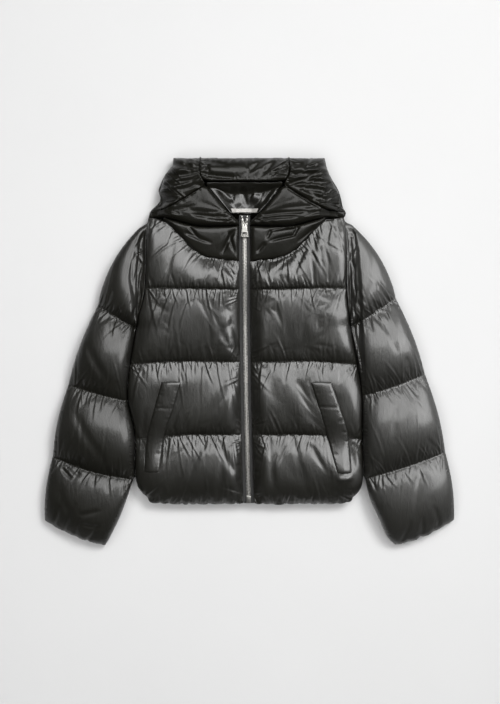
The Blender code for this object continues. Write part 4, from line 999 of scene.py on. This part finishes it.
def finish_sleeve(piece, side, rings, material):
    """Closes the tube: a flat head against the armhole and a turned-in cuff."""
    subdivide_smooth(piece)
    press_ridges(piece, sleeve_ridges(side, rings))
    cuff, inner_x = rings[-1], side_x(LOWER_SLEEVE_SIDES, side, LOWER_SLEEVE_SIDES[-1, 0])
    middle = Vector(((cuff[0] + inner_x) / 2, (cuff[1] + cuff[2]) / 2, 0.015))
    inward = (Vector((*rings[-2, :2], 0.0)) - Vector((*cuff[:2], 0.0))).normalized()

    def turned_in(narrow, thin, deep):
        def place(*point):
            off = Vector(point) - middle
            flat = Vector((off.x, off.y, 0.0))
            along = flat.dot(inward)
            return middle + (flat - inward * along) * narrow \
                + inward * (along + deep) + Vector((0.0, 0.0, off.z * thin))
        return place

    edit(piece)
    for is_cuff in (False, True):
        select_where(piece, "EDGE", lambda edge: edge.is_boundary and (
            min(vert.co.y for vert in edge.verts) < 0.0) == is_cuff)
        for turn in CUFF_TURNS if is_cuff else ():
            bpy.ops.mesh.extrude_edges_move()
            move_selected(piece, turned_in(*turn))
        bpy.ops.mesh.edge_face_add()
    leave_facing_out()
    give(piece, material, "nylon", "sleeve_right" if side < 0 else "sleeve_left")


# --- hood and collar ------------------------------------------------------------------------

WING_BEND = 0.62                  # where a wing's upper edge turns from its seam to the opening
WING_OUT, WING_IN = 0.187, 0.079  # the ends of a wing's seam, as distances from the zip


def hood_pad(name, grid, place, loft, rolls, creases, side=-1, spare=(0.02, 0.12), pressure=3.0,
             wander=0.0008, most=0.010, lean=None):
    """A small pad between its seams, its u running from the outer edge inwards and its v up.

    Rolls are the width and the lip height of its lower, upper, outer and inner edge, and lean
    scales its height. The length of its name seeds its small unevenness.
    """
    piece, u, v = flat_panel(name, *grid, side)
    x, y = place(u, v)

    def reach(start, end):
        (ax, ay), (bx, by) = place(*start), place(*end)
        return np.hypot(bx - ax, by - ay)

    none, full = np.zeros_like(u), np.ones_like(u)
    span, width = reach((u, none), (u, full)), reach((none, v), (full, v))
    share, lips, weights = 1.0, 0.0, 0.0
    rolls = rolls(u) if callable(rolls) else rolls
    for away, (roll, lip) in zip((v * span, (1 - v) * span, u * width, (1 - u) * width), rolls):
        part = rolled(away, roll)
        share = share * part
        weight = (1.0 - part) + 1e-6
        lips, weights = lips + weight * lip, weights + weight
    lip = lips / weights
    height = mix(lip, loft, share) * (lean(u, v) if lean else 1.0)
    border = (u < 1e-4) | (u > 1 - 1e-4) | (v < 1e-4) | (v > 1 - 1e-4)
    cut = crease_depth(x, y, creases, most)
    lowest = np.minimum(height, 0.006 + 0.3 * lip)
    height = np.where(border, height + 1.6 * wander * uneven(len(name), x + y, 0.007),
                      np.maximum(height - cut, lowest))
    y = y + np.where(border & (v > 0.5), wander * uneven(3 + len(name), x, 0.008), 0.0)
    set_points(piece, np.c_[x, y, PAD_BASE_Z + height])
    add_cloth(piece, border, spare_along=spare[0], spare_across=spare[1], pressure=pressure)
    return piece


def crown_half(y):
    return smooth_read(CROWN_SEAM, 1, y)


def crown(name):
    def place(u, v):
        low = FACE_EDGE_Y + 0.004 * np.abs(2 * u - 1) ** 4
        y = mix(low, HOOD_TOP_Y - HOOD_EDGE_INSET, v)
        half = crown_half(y) - SEAM_GAP
        return ZIP_TOP_X + mix(-half, half, u), y

    line = np.linspace(-0.085, 0.07, 60)
    creases = list(CROWN_FOLDS) + gathers(501, line, np.full_like(line, 0.387), -1,
                                          spacing=0.011, reach=0.016, depth=0.0035)
    rolls = ((0.004, 0.0460), (0.034, 0.005), (0.003, 0.0450), (0.003, 0.0450))
    return hood_pad(name, (76, 26), place, 0.049, rolls, creases, spare=(0.015, 0.04),
                    pressure=0.7)


def hood_side(name, side):
    def across(u, y):
        wander = 0.0020 * uneven(640 + side, np.append(y, (0.26, 0.40)), 0.011)[:-2]
        outer = side_x(HOOD_SIDES, side, y) - side * (HOOD_EDGE_INSET + wander)
        return mix(outer, ZIP_TOP_X + side * (crown_half(y) + SEAM_GAP), u)

    def place(u, v):
        low = smooth_read(WING_SEAM, 1, mix(0.190, WING_IN, u))
        for _ in range(4):
            low = smooth_read(WING_SEAM, 1, np.abs(across(u, low) - ZIP_TOP_X)) + 2 * SEAM_GAP
        y = mix(low, HOOD_TOP_Y - HOOD_EDGE_INSET, v)
        return across(u, y), y

    def lean(u, v):
        return mix(0.22 + 0.78 * ease((0.105 * u + 0.004) / 0.050), 1.0, ease(v / 0.5))

    ys = np.linspace(0.29, 0.384, 50)
    creases = of_side(HOOD_FOLDS, side)
    creases += gathers(510 + side, side_x(HOOD_SIDES, side, ys), ys, side, spacing=0.014,
                       reach=0.046, depth=0.004)
    creases += gathers(520 + side, ZIP_TOP_X + side * crown_half(ys), ys, -side, spacing=0.011,
                       reach=0.018, depth=0.003)
    rolls = ((0.012, 0.0385), (0.034, 0.005), (0.036, 0.005), (0.003, 0.0450))
    return hood_pad(name, (58, 56), place, 0.050, rolls, creases, side, spare=(0.09, 0.03),
                    lean=lean)


def wing(name, side):
    def place(u, v):
        low = mix(WING_OUT, ZIP_HALF_TAPE, u)
        outer = mix(WING_OUT, WING_IN, np.clip(u / WING_BEND, 0, 1))
        inner = mix(0.0745, ZIP_HALF_TAPE, np.clip((u - WING_BEND) / (1 - WING_BEND), 0, 1))
        high = np.where(u < WING_BEND, outer, inner)
        high_y = np.where(u < WING_BEND, smooth_read(WING_SEAM, 1, outer) - SEAM_GAP,
                          smooth_read(FACE_OPENING, 1, inner))
        low_y = smooth_read(WING_CREASE, 1, low) + SEAM_GAP
        return ZIP_TOP_X + side * mix(low, high, v), mix(low_y, high_y, v)

    def rolls(u):
        inner = ease((u - WING_BEND + 0.04) / 0.08)
        return ((0.010, 0.0265), (mix(0.006, 0.016, inner), mix(0.0435, 0.033, inner)),
                (0.050, 0.008), (0.012, 0.024))

    away = mix(WING_OUT, WING_IN, np.linspace(0.03, 0.60, 50) / WING_BEND)
    creases = of_side(WING_FOLDS, side) + gathers(
        530 + side, ZIP_TOP_X + side * away, smooth_read(WING_SEAM, 1, away), side,
        spacing=0.014, reach=0.010, depth=0.0014)
    return hood_pad(name, (76, 32), place, 0.0445, rolls, creases, side, spare=(0.03, 0.02),
                    lean=lambda u, v: 0.22 + 0.78 * ease((0.176 * u + 0.004) / 0.050))


def collar(name, side):
    def place(u, v):
        away = mix(0.160, ZIP_HALF_TAPE, u)
        low_y = smooth_read(NECK_SEAM, 1, away) + SEAM_GAP
        high_y = smooth_read(WING_CREASE, 1, away) - SEAM_GAP
        return ZIP_TOP_X + side * away, mix(low_y, high_y, v)

    away = np.linspace(0.015, 0.155, 60)
    creases = of_side(COLLAR_FOLDS, side) + gathers(
        540 + side, ZIP_TOP_X + side * away, smooth_read(NECK_SEAM, 1, away), -side,
        spacing=0.011, reach=0.016, depth=0.003)
    rolls = ((0.010, 0.0275), (0.009, 0.0250), (0.030, 0.016), (0.012, 0.021))
    return hood_pad(name, (72, 36), place, 0.034, rolls, creases, side, spare=(0.04, 0.06),
                    wander=0.0004, lean=lambda u, v: mix(0.86, 1.0, ease(v * 1.6)))


def inside(name):
    def place(u, v):
        y = mix(0.2747, FACE_EDGE_Y - 0.0012, v)
        half = smooth_read(FACE_OPENING[:, ::-1], 1, y) - 0.0015
        return ZIP_TOP_X + mix(-half, half, u), y

    def lean(u, v):
        return 1.0 + np.maximum(1.55 * ease((v - 0.64) / 0.36),
                                0.95 * ease((np.abs(2 * u - 1) - 0.4) / 0.6))

    rolls = ((0.006, 0.015), (0.004, 0.0145), (0.004, 0.0145), (0.004, 0.0145))
    return hood_pad(name, (56, 32), place, 0.015, rolls, INSIDE_FOLDS, spare=(0.03, 0.04),
                    pressure=0.6, most=0.006, lean=lean)


def turned_edge(xs, ys, width=0.0012, tall=0.0009):
    """A thin raised line along a turned edge, in overlapping lengths."""
    return [(xs[i], ys[i], xs[i + 2], ys[i + 2], width, tall) for i in range(len(xs) - 2)]


def side_ridges(side):
    ys = np.linspace(0.283, 0.382, 60)
    outer = side_x(HOOD_SIDES, side, ys) - side * 0.006
    inner = ZIP_TOP_X + side * (crown_half(ys) + 0.001)
    return gathers(610 + side, outer, ys, side, spacing=0.0120, reach=0.070, depth=0.0014,
                   slant=0.14, lean=0.20 * side, width=0.0016) \
        + gathers(620 + side, inner, ys, -side, spacing=0.0095, reach=0.012, depth=0.0011,
                  slant=0.4, width=0.0013)


def wing_ridges(side):
    ys, away = np.linspace(0.256, 0.278, 20), np.linspace(0.084, 0.150, 7)
    opening = ZIP_TOP_X + side * (0.013 + 0.6 * (ys - 0.256))
    return gathers(630 + side, opening, ys, -side, spacing=0.0060, reach=0.042, depth=0.0009,
                   slant=0.10, lean=0.10 * side, width=0.0016) \
        + turned_edge(ZIP_TOP_X + side * away, smooth_read(WING_SEAM, 1, away) - 0.0022)


def crown_ridges(_side):
    xs, ys = np.linspace(-0.086, 0.076, 60), np.linspace(0.342, 0.384, 20)
    edge, half = np.linspace(-0.082, 0.063, 13), crown_half(ys) - 0.002
    return turned_edge(edge, np.full_like(edge, 0.3384)) \
        + gathers(650, xs, np.full_like(xs, 0.3375), 1, spacing=0.0075, reach=0.008,
                  depth=0.0007, slant=0.5, lean=0.3, width=0.0011) \
        + gathers(651, ZIP_TOP_X - half, ys, -1, spacing=0.006, reach=0.014, depth=0.0012,
                  slant=0.5, width=0.0012) \
        + gathers(652, ZIP_TOP_X + half, ys, 1, spacing=0.005, reach=0.030, depth=0.0013,
                  slant=0.3, lean=0.55, width=0.0013)


def collar_ridges(side):
    away = np.linspace(0.013, 0.150, 60)
    return puckers(660 + side, ZIP_TOP_X + side * away, smooth_read(NECK_SEAM, 1, away) + 0.001,
                   -side, fine=0.008, long=0.020, reach=0.8)


def hood_ridges(node):
    """The fine sharp wrinkles of a pad of the hood or collar.

    The inside of the hood shares those of its left side.
    """
    side = -1 if "right" in node else 1
    for word, ridges in (("side", side_ridges), ("wing", wing_ridges), ("crown", crown_ridges),
                         ("collar", collar_ridges)):
        if word in node:
            return ridges(side)
    return []


HOOD_LAYERS = (                   # z and inset of each turn of the folded hood's edge
    (0.0, 0.012), (0.0015, 0.006), (0.004, 0.003), (0.009, 0.0008), (0.0130, 0.0030),
    (0.0145, 0.0060), (0.0160, 0.0030), (0.0200, 0.0008), (0.0255, 0.0015), (BACK_TOP_Z, 0.0050))


def hood_layers(name):
    """The folded hood's hidden layers: one low solid whose edge is layered and gathered."""
    low_y = SHOULDER_Y + 0.001
    across, up = np.linspace(0.0, 1.0, 60), np.linspace(low_y, HOOD_TOP_Y, 41)
    low_right, low_left, top_right, top_left = (
        side_x(HOOD_SIDES, side, y) for y in (low_y, HOOD_TOP_Y) for side in (-1, 1))
    loop = [(mix(low_right, low_left, s), low_y) for s in across[:-1]]
    loop += [(side_x(HOOD_SIDES, 1, y), y) for y in up[:-1]]
    loop += [(mix(top_left, top_right, s), HOOD_TOP_Y) for s in across[:-1]]
    loop += [(side_x(HOOD_SIDES, -1, y), y) for y in up[:0:-1]]
    places = np.array(loop, float)
    along = np.roll(places, -1, axis=0) - np.roll(places, 1, axis=0)
    along /= np.linalg.norm(along, axis=1)[:, None]
    inwards, run = np.c_[-along[:, 1], along[:, 0]], run_of(places)
    free = ease((places[:, 1] - low_y) / 0.010)
    rings = [places + inwards * (inset * free + np.maximum(
        0.0017 * uneven(600 + number, run, 0.012) * free, -0.4 * inset))[:, None]
        for number, (_z, inset) in enumerate(HOOD_LAYERS)]

    deselect()
    bpy.ops.mesh.primitive_circle_add(vertices=len(places), radius=0.1, fill_type="NGON")
    piece = new_piece(name)
    set_points(piece, np.c_[rings[0], np.full(len(places), HOOD_LAYERS[0][0])])
    edit(piece)
    bpy.ops.mesh.select_all(action="SELECT")
    for below, ring, (height, _inset) in zip(rings, rings[1:], HOOD_LAYERS[1:]):
        bpy.ops.mesh.extrude_region_move()
        move_selected(piece, lambda x, y, z: (
            *ring[np.argmin(np.hypot(*(below - (x, y)).T))], height))
    leave_facing_out()
    return piece


# --- back -----------------------------------------------------------------------------------

BACK_ROLL, BACK_LIFT = 0.024, 0.014
BACK_STEPS = ((0.0190, 0.0006), (0.0230, 0.0022), (0.0262, 0.0028), (BACK_TOP_Z, 0.0024))


def back_panel(name):
    """The back: flat where it rests, rolled up at its sides and pinched at each seam."""
    piece, u, v = flat_panel(name, 96, 110)
    low_y = cross_seam_y(FRONT_ROWS[0], 1.0 - np.abs(2 * u - 1))
    side_y = mix(FRONT_ROWS[0][0], SHOULDER_Y, v)
    y = mix(low_y, SHOULDER_Y, v)
    right, left = (side_x(BODY_SIDES, side, side_y) - side * SEAM_GAP for side in (-1, 1))
    x = mix(right, left, u)
    away = np.minimum(u, 1 - u) * (left - right)
    lift = BACK_LIFT * (1.0 - np.minimum(rolled(away, BACK_ROLL), rolled(y - low_y, BACK_ROLL)))
    for row in FRONT_ROWS[1:]:
        near = np.abs(y - np.interp(away, (0.0, 0.03, 0.11), row[:3]))
        lift = lift + 0.0035 * np.exp(-(near / 0.006) ** 2)
        lift = lift + 0.0010 * np.exp(-near / 0.014) * (1 + uneven(int(1000 * row[1]), x, 0.009))
    run = np.linspace(-0.30, 0.30, 600)
    hem_gathers, side_gathers = uneven(88, run, 0.0085), uneven(89, run, 0.0100)
    gathered = 1.0 + np.interp(x, run, hem_gathers)
    y = y + 0.0011 * gathered * ease(1.0 - (y - low_y) / 0.030) * ease(away / 0.020)
    set_points(piece, np.c_[x, y, lift])
    subdivide_smooth(piece)

    def inset(x, y, amount):
        if y > SHOULDER_Y - 0.001:
            return x, y
        if y < -0.2820:
            return x, y + amount * (1.0 + 0.9 * float(np.interp(x, run, hem_gathers)))
        loose = 1.0 + 0.9 * float(np.interp(y, run, side_gathers))
        pinch = sum(math.exp(-((y - row[0]) / 0.014) ** 2) for row in FRONT_ROWS[1:])
        return x - math.copysign(amount * loose + 0.004 * pinch, x), y

    def step(z, amount):
        return lambda x, y, _z: (*inset(x, y, amount), z)

    close_under(piece, *(step(*turn) for turn in BACK_STEPS))
    return piece


# --- pocket welts ---------------------------------------------------------------------------

WELT_COLUMNS, WELT_ROWS = 18, 80
WELT_SEAM_Y, WELT_SEAM_SLANT = -0.110, 0.05
WELT_CROWN, WELT_DEPTH = 0.0032, 0.0140
WELT_SMOOTHED = 15                # rows on each side that its height is evened out over


def heights_under(x, y, below):
    """How high another piece's upper side lies at each place."""
    tree = BVHTree.FromObject(below, bpy.context.evaluated_depsgraph_get())
    hits = [tree.ray_cast(Vector((px, py, 0.2)), Vector((0, 0, -1)))[0] for px, py in zip(x, y)]
    return np.array([hit.z if hit else PAD_BASE_Z for hit in hits])


def pocket_welt(name, side, table, below):
    """A padded welt in the pressed strip of the front, a cross seam above its middle."""
    piece, u, v = flat_panel(name, WELT_COLUMNS, WELT_ROWS, side)
    y = mix(table[0, 0], table[-1, 0], v)
    outer, inner = smooth_read(table, 1, y), smooth_read(table, 2, y)
    x = mix(outer, inner, u)
    width, length = np.abs(outer - inner), table[-1, 0] - table[0, 0]
    share = rolled(u * width, 0.0055) * rolled((1 - u) * width, 0.0035) \
        * rolled(v * length, 0.012) * rolled((1 - v) * length, 0.016)
    seam = np.exp(-((y - WELT_SEAM_Y + WELT_SEAM_SLANT * (x - outer)) / 0.0028) ** 2)
    line, creases = np.linspace(table[0, 0] + 0.004, table[-1, 0] - 0.004, 50), []
    for column, way, seed in ((1, side, 700), (2, -side, 710)):
        creases += gathers(seed + side, smooth_read(table, column, line), line, way,
                           spacing=0.007, reach=0.006, depth=0.0009, width=0.0018)
    tall = 0.0003 + (0.0026 * (1.0 - 0.35 * seam) - crease_depth(x, y, creases, 0.0012)) * share
    columns, rows = (np.round(share_of * count).astype(int)
                     for share_of, count in ((u, WELT_COLUMNS), (v, WELT_ROWS)))
    level = np.zeros((WELT_ROWS + 1, WELT_COLUMNS + 1))
    level[rows, columns] = heights_under(x, y, below)
    edges = np.linspace(0.0, 1.0, WELT_COLUMNS + 1)
    level = mix(level[:, :1], level[:, -1:], edges) + WELT_CROWN * np.sin(math.pi * edges)
    kernel = np.hanning(2 * WELT_SMOOTHED + 3)[1:-1]
    for column in level.T:
        column[:] = np.convolve(np.pad(column, WELT_SMOOTHED, mode="edge"), kernel / kernel.sum(),
                                mode="valid")
    set_points(piece, np.c_[x, y, level[rows, columns] + tall])
    subdivide_smooth(piece)
    close_under(piece, lambda x, y, z: (x, y, z - WELT_DEPTH))
    return piece


# --- zip and label --------------------------------------------------------------------------

TAPE_Z, TAPE_THICKNESS = 0.0311, 0.0009
TOOTH_SIZE, TOOTH_PITCH, TOOTH_Z = (0.0044, 0.0015, 0.0026), 0.00290, 0.0333
CLOSED_FROM_Y, CLOSED_TO_Y = ZIP_BOTTOM_Y + 0.0162, 0.2405
OPEN_FROM_Y, OPEN_TO_Y = 0.2420, 0.2640
LABEL_LOW_Y, LABEL_HIGH_Y, LABEL_Z = 0.2762, 0.2838, 0.0472


def tape_strip(name, side):
    """Woven tape between the zip and a front, with its corded edge at the chain."""
    piece, u, v = flat_panel(name, 8, 150, side)
    y = mix(ZIP_BOTTOM_Y, ZIP_TOP_Y, v)
    off = mix(0.0002, ZIP_HALF_TAPE - 0.0003, 1 - u)
    cord = 0.0006 * np.exp(-((off - 0.0046) / 0.0008) ** 2)
    set_points(piece, np.c_[zip_x(y) + side * off, y, TAPE_Z + zip_rise(y) + cord])
    apply_modifier(piece, "SOLIDIFY", thickness=TAPE_THICKNESS, offset=-1.0)
    return piece


def small_block(name, size):
    """A cube of a size, open in edit mode."""
    deselect()
    bpy.ops.mesh.primitive_cube_add(size=1.0)
    piece = new_piece(name)
    bpy.ops.object.mode_set(mode="EDIT")
    bpy.ops.transform.resize(value=size)
    return piece


def slope_of(line, y, step=0.002):
    return (float(line(y + step)) - float(line(y - step))) / (2 * step)


def zip_teeth(name):
    """Metal teeth, pressed over the tape's edges, two staggered rows of one shape."""
    tooth = small_block("tooth", TOOTH_SIZE)
    for way, shrink in ((1, 0.72), (-1, 0.86)):
        select_where(tooth, "FACE", lambda face: face.normal.x * way > 0.9)
        bpy.ops.mesh.extrude_region_move(TRANSFORM_OT_translate={"value": (way * 0.0006, 0, 0)})
        bpy.ops.transform.resize(value=(1.0, shrink, 0.70))
    bpy.ops.object.mode_set(mode="OBJECT")
    frames = []
    for side in (-1, 1):
        flip = Matrix.Rotation(math.pi if side > 0 else 0.0, 4, "Z")
        stagger = 0.5 * TOOTH_PITCH if side > 0 else 0.0
        for y in np.arange(CLOSED_FROM_Y + stagger, CLOSED_TO_Y, TOOTH_PITCH):
            turn = Matrix.Rotation(-math.atan(slope_of(zip_x, y)), 4, "Z") \
                @ Matrix.Rotation(math.atan(slope_of(zip_rise, y)), 4, "X")
            place = (zip_x(y) + side * 0.00145, y, TOOTH_Z + zip_rise(y))
            frames.append(Matrix.Translation(place) @ turn @ flip)
        for y in np.arange(OPEN_FROM_Y + stagger, OPEN_TO_Y, TOOTH_PITCH):
            apart = 0.0016 + 0.0030 * (y - 0.240) / 0.024
            place = (ZIP_TOP_X + side * apart, y, TOOTH_Z + zip_rise(y))
            frames.append(Matrix.Translation(place) @ flip)
    return repeated(name, tooth, frames)


def plate(name, size, place, bevel, widths=None):
    """A small pressed plate, its sides slanted from a low width to a high one."""
    piece = small_block(name, size)
    if widths:
        move_selected(piece, lambda x, y, z: (
            math.copysign(mix(*widths, y / size[1] + 0.5) / 2, x), y, z))
    bpy.ops.mesh.bevel(offset=bevel, segments=3, affect="EDGES")
    bpy.ops.object.mode_set(mode="OBJECT")
    set_points(piece, points_of(piece) + np.array(place))
    return piece


def join_all(name, pieces):
    deselect()
    for piece in pieces:
        piece.select_set(True)
    bpy.context.view_layer.objects.active = pieces[0]
    bpy.ops.object.join()
    pieces[0].name = pieces[0].data.name = name
    return pieces[0]


def cut_out(piece, cutter):
    apply_modifier(piece, "BOOLEAN", operation="DIFFERENCE", object=cutter)
    bpy.data.objects.remove(cutter, do_unlink=True)


def placed(piece):
    """The primitive just added, its place and turn taken into its mesh."""
    bpy.ops.object.transform_apply(location=True, rotation=True, scale=True)
    return piece


def slider_body(name):
    """Zip slider: a plate with rounded shoulders, side flanges and the bail for the puller."""
    x = float(zip_x(HINGE_Y))
    top = plate("top", (0.0130, 0.0240, 0.0026), (x, 0.2530, SLIDER_Z), 0.0009, (0.0098, 0.0130))
    cut_out(top, plate("notch", (0.0050, 0.0120, 0.0100), (x, 0.2630, SLIDER_Z), 0.0008,
                       (0.0016, 0.0056)))
    parts = [top]
    for side in (-1, 1):
        parts.append(plate("shoulder", (0.0030, 0.0080, 0.0034),
                           (x + side * 0.0046, 0.2612, SLIDER_Z), 0.0010, (0.0024, 0.0030)))
        parts.append(plate("flange", (0.0012, 0.0200, 0.0042),
                           (x + side * 0.0049, 0.2515, 0.0495), 0.0004))
    deselect()
    bpy.ops.mesh.primitive_torus_add(major_radius=0.0022, minor_radius=0.0007, major_segments=28,
                                     minor_segments=10, rotation=(0.0, math.pi / 2, 0.0),
                                     location=(x, HINGE_Y, 0.0547))
    parts.append(placed(bpy.context.active_object))
    return join_all(name, parts)


def pull_tab(name):
    """Pull tab with its window and the slot that rides on the bail."""
    x = float(zip_x(HINGE_Y))
    tab = plate(name, (0.0164, 0.0262, 0.0018), (x, HINGE_Y - 0.0133, HINGE_Z), 0.0006,
                (0.0164, 0.0064))
    cut_out(tab, plate("slot", (0.0024, 0.0050, 0.0100), (x, HINGE_Y - 0.0014, HINGE_Z), 0.0004))
    cut_out(tab, plate("window", (0.0104, 0.0076, 0.0100), (x, HINGE_Y - 0.0203, HINGE_Z), 0.0012,
                       (0.0108, 0.0090)))
    deselect()
    bpy.ops.mesh.primitive_cylinder_add(vertices=20, radius=0.0008, depth=0.0056,
                                        rotation=(0.0, math.pi / 2, 0.0),
                                        location=(x, HINGE_Y, HINGE_Z))
    return join_all(name, [tab, placed(bpy.context.active_object)])


def woven_label(name):
    """Blank satin label, sewn at both ends, its ends folded under."""
    piece, u, v = flat_panel(name, 40, 10)
    y = mix(LABEL_LOW_Y, LABEL_HIGH_Y, v) + 0.0012 * np.sin(math.pi * u)
    off = mix(-1.0, 1.0, u) * mix(0.0238, 0.0266, v)
    ends = np.exp(-(np.minimum(u, 1 - u) / 0.05) ** 2)
    z = LABEL_Z + 0.0009 * np.sin(math.pi * u) + 0.0005 * np.sin(3 * math.pi * u) - 0.0010 * ends
    z = z + 0.0130 * ease((np.abs(off) - 0.0118) / 0.0186)
    set_points(piece, np.c_[ZIP_TOP_X + off, y, z])
    apply_modifier(piece, "SOLIDIFY", thickness=0.0007, offset=-1.0)
    apply_modifier(piece, "BEVEL", width=0.0002, segments=1, limit_method="ANGLE")
    return piece


# --- quilting thread ------------------------------------------------------------------------

STITCH_LENGTH, STITCH_PITCH, STITCH_WIDTH = 0.0024, 0.0034, 0.00050
STITCH_LIFT = 0.0004
STITCH_MIDDLE = 0.7               # share of its length that a stitch keeps its full width


def stitches(name, paths):
    """Thread along seam lines, each stitch a short sunk bead."""
    stitch = small_block("stitch", (STITCH_LENGTH * STITCH_MIDDLE, STITCH_WIDTH,
                                    STITCH_WIDTH * 0.8))
    select_where(stitch, "FACE", lambda face: abs(face.normal.x) > 0.9)
    bpy.ops.mesh.inset(thickness=STITCH_WIDTH * 0.2)
    bpy.ops.transform.resize(value=(1.0 / STITCH_MIDDLE, 1.0, 1.0))
    bpy.ops.object.mode_set(mode="OBJECT")
    frames = []
    for path in paths:
        run = run_of(path)
        for at in np.arange(STITCH_PITCH, run[-1] - STITCH_PITCH, STITCH_PITCH):
            spot, ahead = (Vector([np.interp(place, run, path[:, i]) for i in range(3)])
                           for place in (at, at + 0.001))
            way = (ahead - spot).normalized()
            across = Vector((0, 0, 1)).cross(way).normalized()
            turn = Matrix((way, across, way.cross(across))).transposed().to_4x4()
            frames.append(Matrix.Translation(spot) @ turn)
    return repeated(name, stitch, frames)


# --- the jacket -----------------------------------------------------------------------------

# Each side takes its own copy of the sleeve nylon: painted shade on the right sleeve, painted
# light on the left.
SIDES = (("right", -1, RIGHT_SLEEVE, RIGHT_POCKET, shaded_sleeve_nylon),
         ("left", 1, LEFT_SLEEVE, LEFT_POCKET, lit_sleeve_nylon))


def turn_under(x, y, _z):
    return x, y, PAD_BASE_Z + 0.0002


def settled_cloth():
    """The blown-up pieces: fronts and sleeves with their seams, and the hood with its nodes."""
    fronts, sleeves, hood = {}, {}, []
    for word, side, rings, _pocket, _material in SIDES:
        fronts[word] = front(f"front_{word}_quilted", side)
        sleeves[word] = sleeve(f"sleeve_{word}_quilted", side, rings)
        hood.append((collar(f"collar_{word}_folded", side), f"collar_{word}"))
        hood.append((wing(f"hood_wing_{word}_folded", side), f"hood_wing_{word}"))
        hood.append((hood_side(f"hood_side_{word}_crushed", side), f"hood_side_{word}"))
    hood.append((crown("hood_crown_folded"), "hood_crown"))
    hood.append((inside("hood_inside_glossy"), "hood_inside"))
    settle([piece for piece, _ in (*fronts.values(), *sleeves.values(), *hood)])
    return fronts, sleeves, hood


def dress():
    fronts, sleeves, hood = settled_cloth()
    paths = [points_of(piece)[order] + (0.0, 0.0, STITCH_LIFT)
             for piece, seams in (*fronts.values(), *sleeves.values()) for order in seams]
    give(stitches("quilting_stitches", paths), sewing_thread, "nylon")

    for word, side, rings, pocket, material in SIDES:
        panel, _seams = fronts[word]
        subdivide_smooth(panel)
        press_ridges(panel, front_ridges(side))
        close_under(panel, turn_under)
        give(panel, body_nylon, "nylon", f"front_{word}")
        welt = pocket_welt(f"pocket_welt_{word}_padded", side, pocket, panel)
        give(welt, body_nylon, "nylon", f"pocket_welt_{word}")
        finish_sleeve(sleeves[word][0], side, rings, material)
        tape = tape_strip(f"zip_tape_{word}_woven", side)
        give(tape, tape_cloth, "tape", f"zip_tape_{word}", sharp=40)
    for piece, node in hood:
        subdivide_smooth(piece)
        press_ridges(piece, hood_ridges(node))
        close_under(piece, turn_under)
        is_inside = node == "hood_inside"
        # the hood and collar pads take the low-sheen copies that paint their shade
        finish = inner_nylon if is_inside else (shaded_collar_nylon if "collar" in node else shaded_hood_nylon)
        give(piece, finish, "inside" if is_inside else "nylon", node)

    layers = give(hood_layers("hood_layers_gathered"), shaded_hood_nylon, "nylon", "hood_back")
    rear = give(back_panel("back_quilted"), body_nylon, "nylon", "back")

    give(zip_teeth("zip_teeth_pressed"), tooth_metal, "steel", "zip_chain", sharp=35)
    give(slider_body("zip_slider_cast"), slider_metal, "steel", "zip_slider", sharp=40)
    give(pull_tab("zip_puller_stamped"), slider_metal, "steel", "zip_puller", body="puller",
         sharp=40)
    for word, side, *_ in SIDES:
        stop = plate(f"zip_top_stop_{word}_bent", (0.0035, 0.0040, 0.0030),
                     (ZIP_TOP_X + side * 0.0055, 0.2685, 0.0487), 0.0010)
        give(stop, slider_metal, "steel", f"zip_top_stop_{word}", sharp=40)
    low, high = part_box("zip_bottom_stop")
    stop = plate("zip_bottom_stop_box", tuple(high - low), tuple((low + high) / 2), 0.0014)
    give(stop, slider_metal, "steel", "zip_bottom_stop", sharp=40)
    label = give(woven_label("neck_label_blank"), label_cloth, "label", "neck_label", sharp=40)


# --- floor, light and camera ----------------------------------------------------------------

CAMERA_HEIGHT, PICTURE_HEIGHT, PICTURE_LEVEL = 2.5, 1.408, 0.03
SENSOR = 36.0


def in_scene(name, data):
    thing = bpy.data.objects.new(name, data)
    bpy.context.scene.collection.objects.link(thing)
    return thing


def softbox(name, place, aim, size, power):
    lamp = bpy.data.lights.new(name, "AREA")
    lamp.shape = "RECTANGLE"
    lamp.size, lamp.size_y = size
    lamp.energy = power
    light = in_scene(name, lamp)
    light.location = place
    light.rotation_euler = (Vector(aim) - Vector(place)).to_track_quat("-Z", "Y").to_euler()
    light.visible_camera = False
    return light


def studio():
    deselect()
    bpy.ops.mesh.primitive_plane_add(size=14.0, location=(0.0, 0.0, -0.0004))
    floor = new_piece("floor")
    paper = Finish("floor_paper", Roughness=0.9)
    paper.colour(paper.noise(paper.place(), 3.0), (0.515, 0.515, 0.515), (0.525, 0.525, 0.525))
    floor.data.materials.append(paper.material)
    world = bpy.data.worlds.new("studio_air")
    bpy.context.scene.world = world
    world.use_nodes = True
    air = world.node_tree.nodes["Background"]
    air.inputs["Color"].default_value = (1.0, 1.0, 1.0, 1.0)
    air.inputs["Strength"].default_value = 0.07
    key = softbox("key", (0.10, 1.10, 1.52), (0.0, 0.05, 0.0), (1.6, 1.2), 51.0)
    side = softbox("side", (1.80, 0.72, 1.45), (0.15, 0.0, 0.05), (1.6, 1.6), 82.0)
    key.visible_diffuse = side.visible_diffuse = False
    lamp = softbox("lamp", (1.7, 1.9, 4.2), (0.0, 0.0, 0.0), (1.6, 1.6), 182.0)
    wash = softbox("wash", (0.0, 0.0, 2.6), (0.0, 0.0, 0.0), (3.0, 3.0), 92.0)
    lamp.visible_glossy = wash.visible_glossy = False
    bpy.context.scene.view_settings.view_transform = "Standard"
    camera = in_scene("camera", bpy.data.cameras.new("camera"))
    camera.location = (0.001, 0.0, CAMERA_HEIGHT)
    camera.data.lens = SENSOR * (CAMERA_HEIGHT - PICTURE_LEVEL) / PICTURE_HEIGHT
    camera.data.clip_end = 60.0
    bpy.context.scene.camera = camera


dress()
studio()
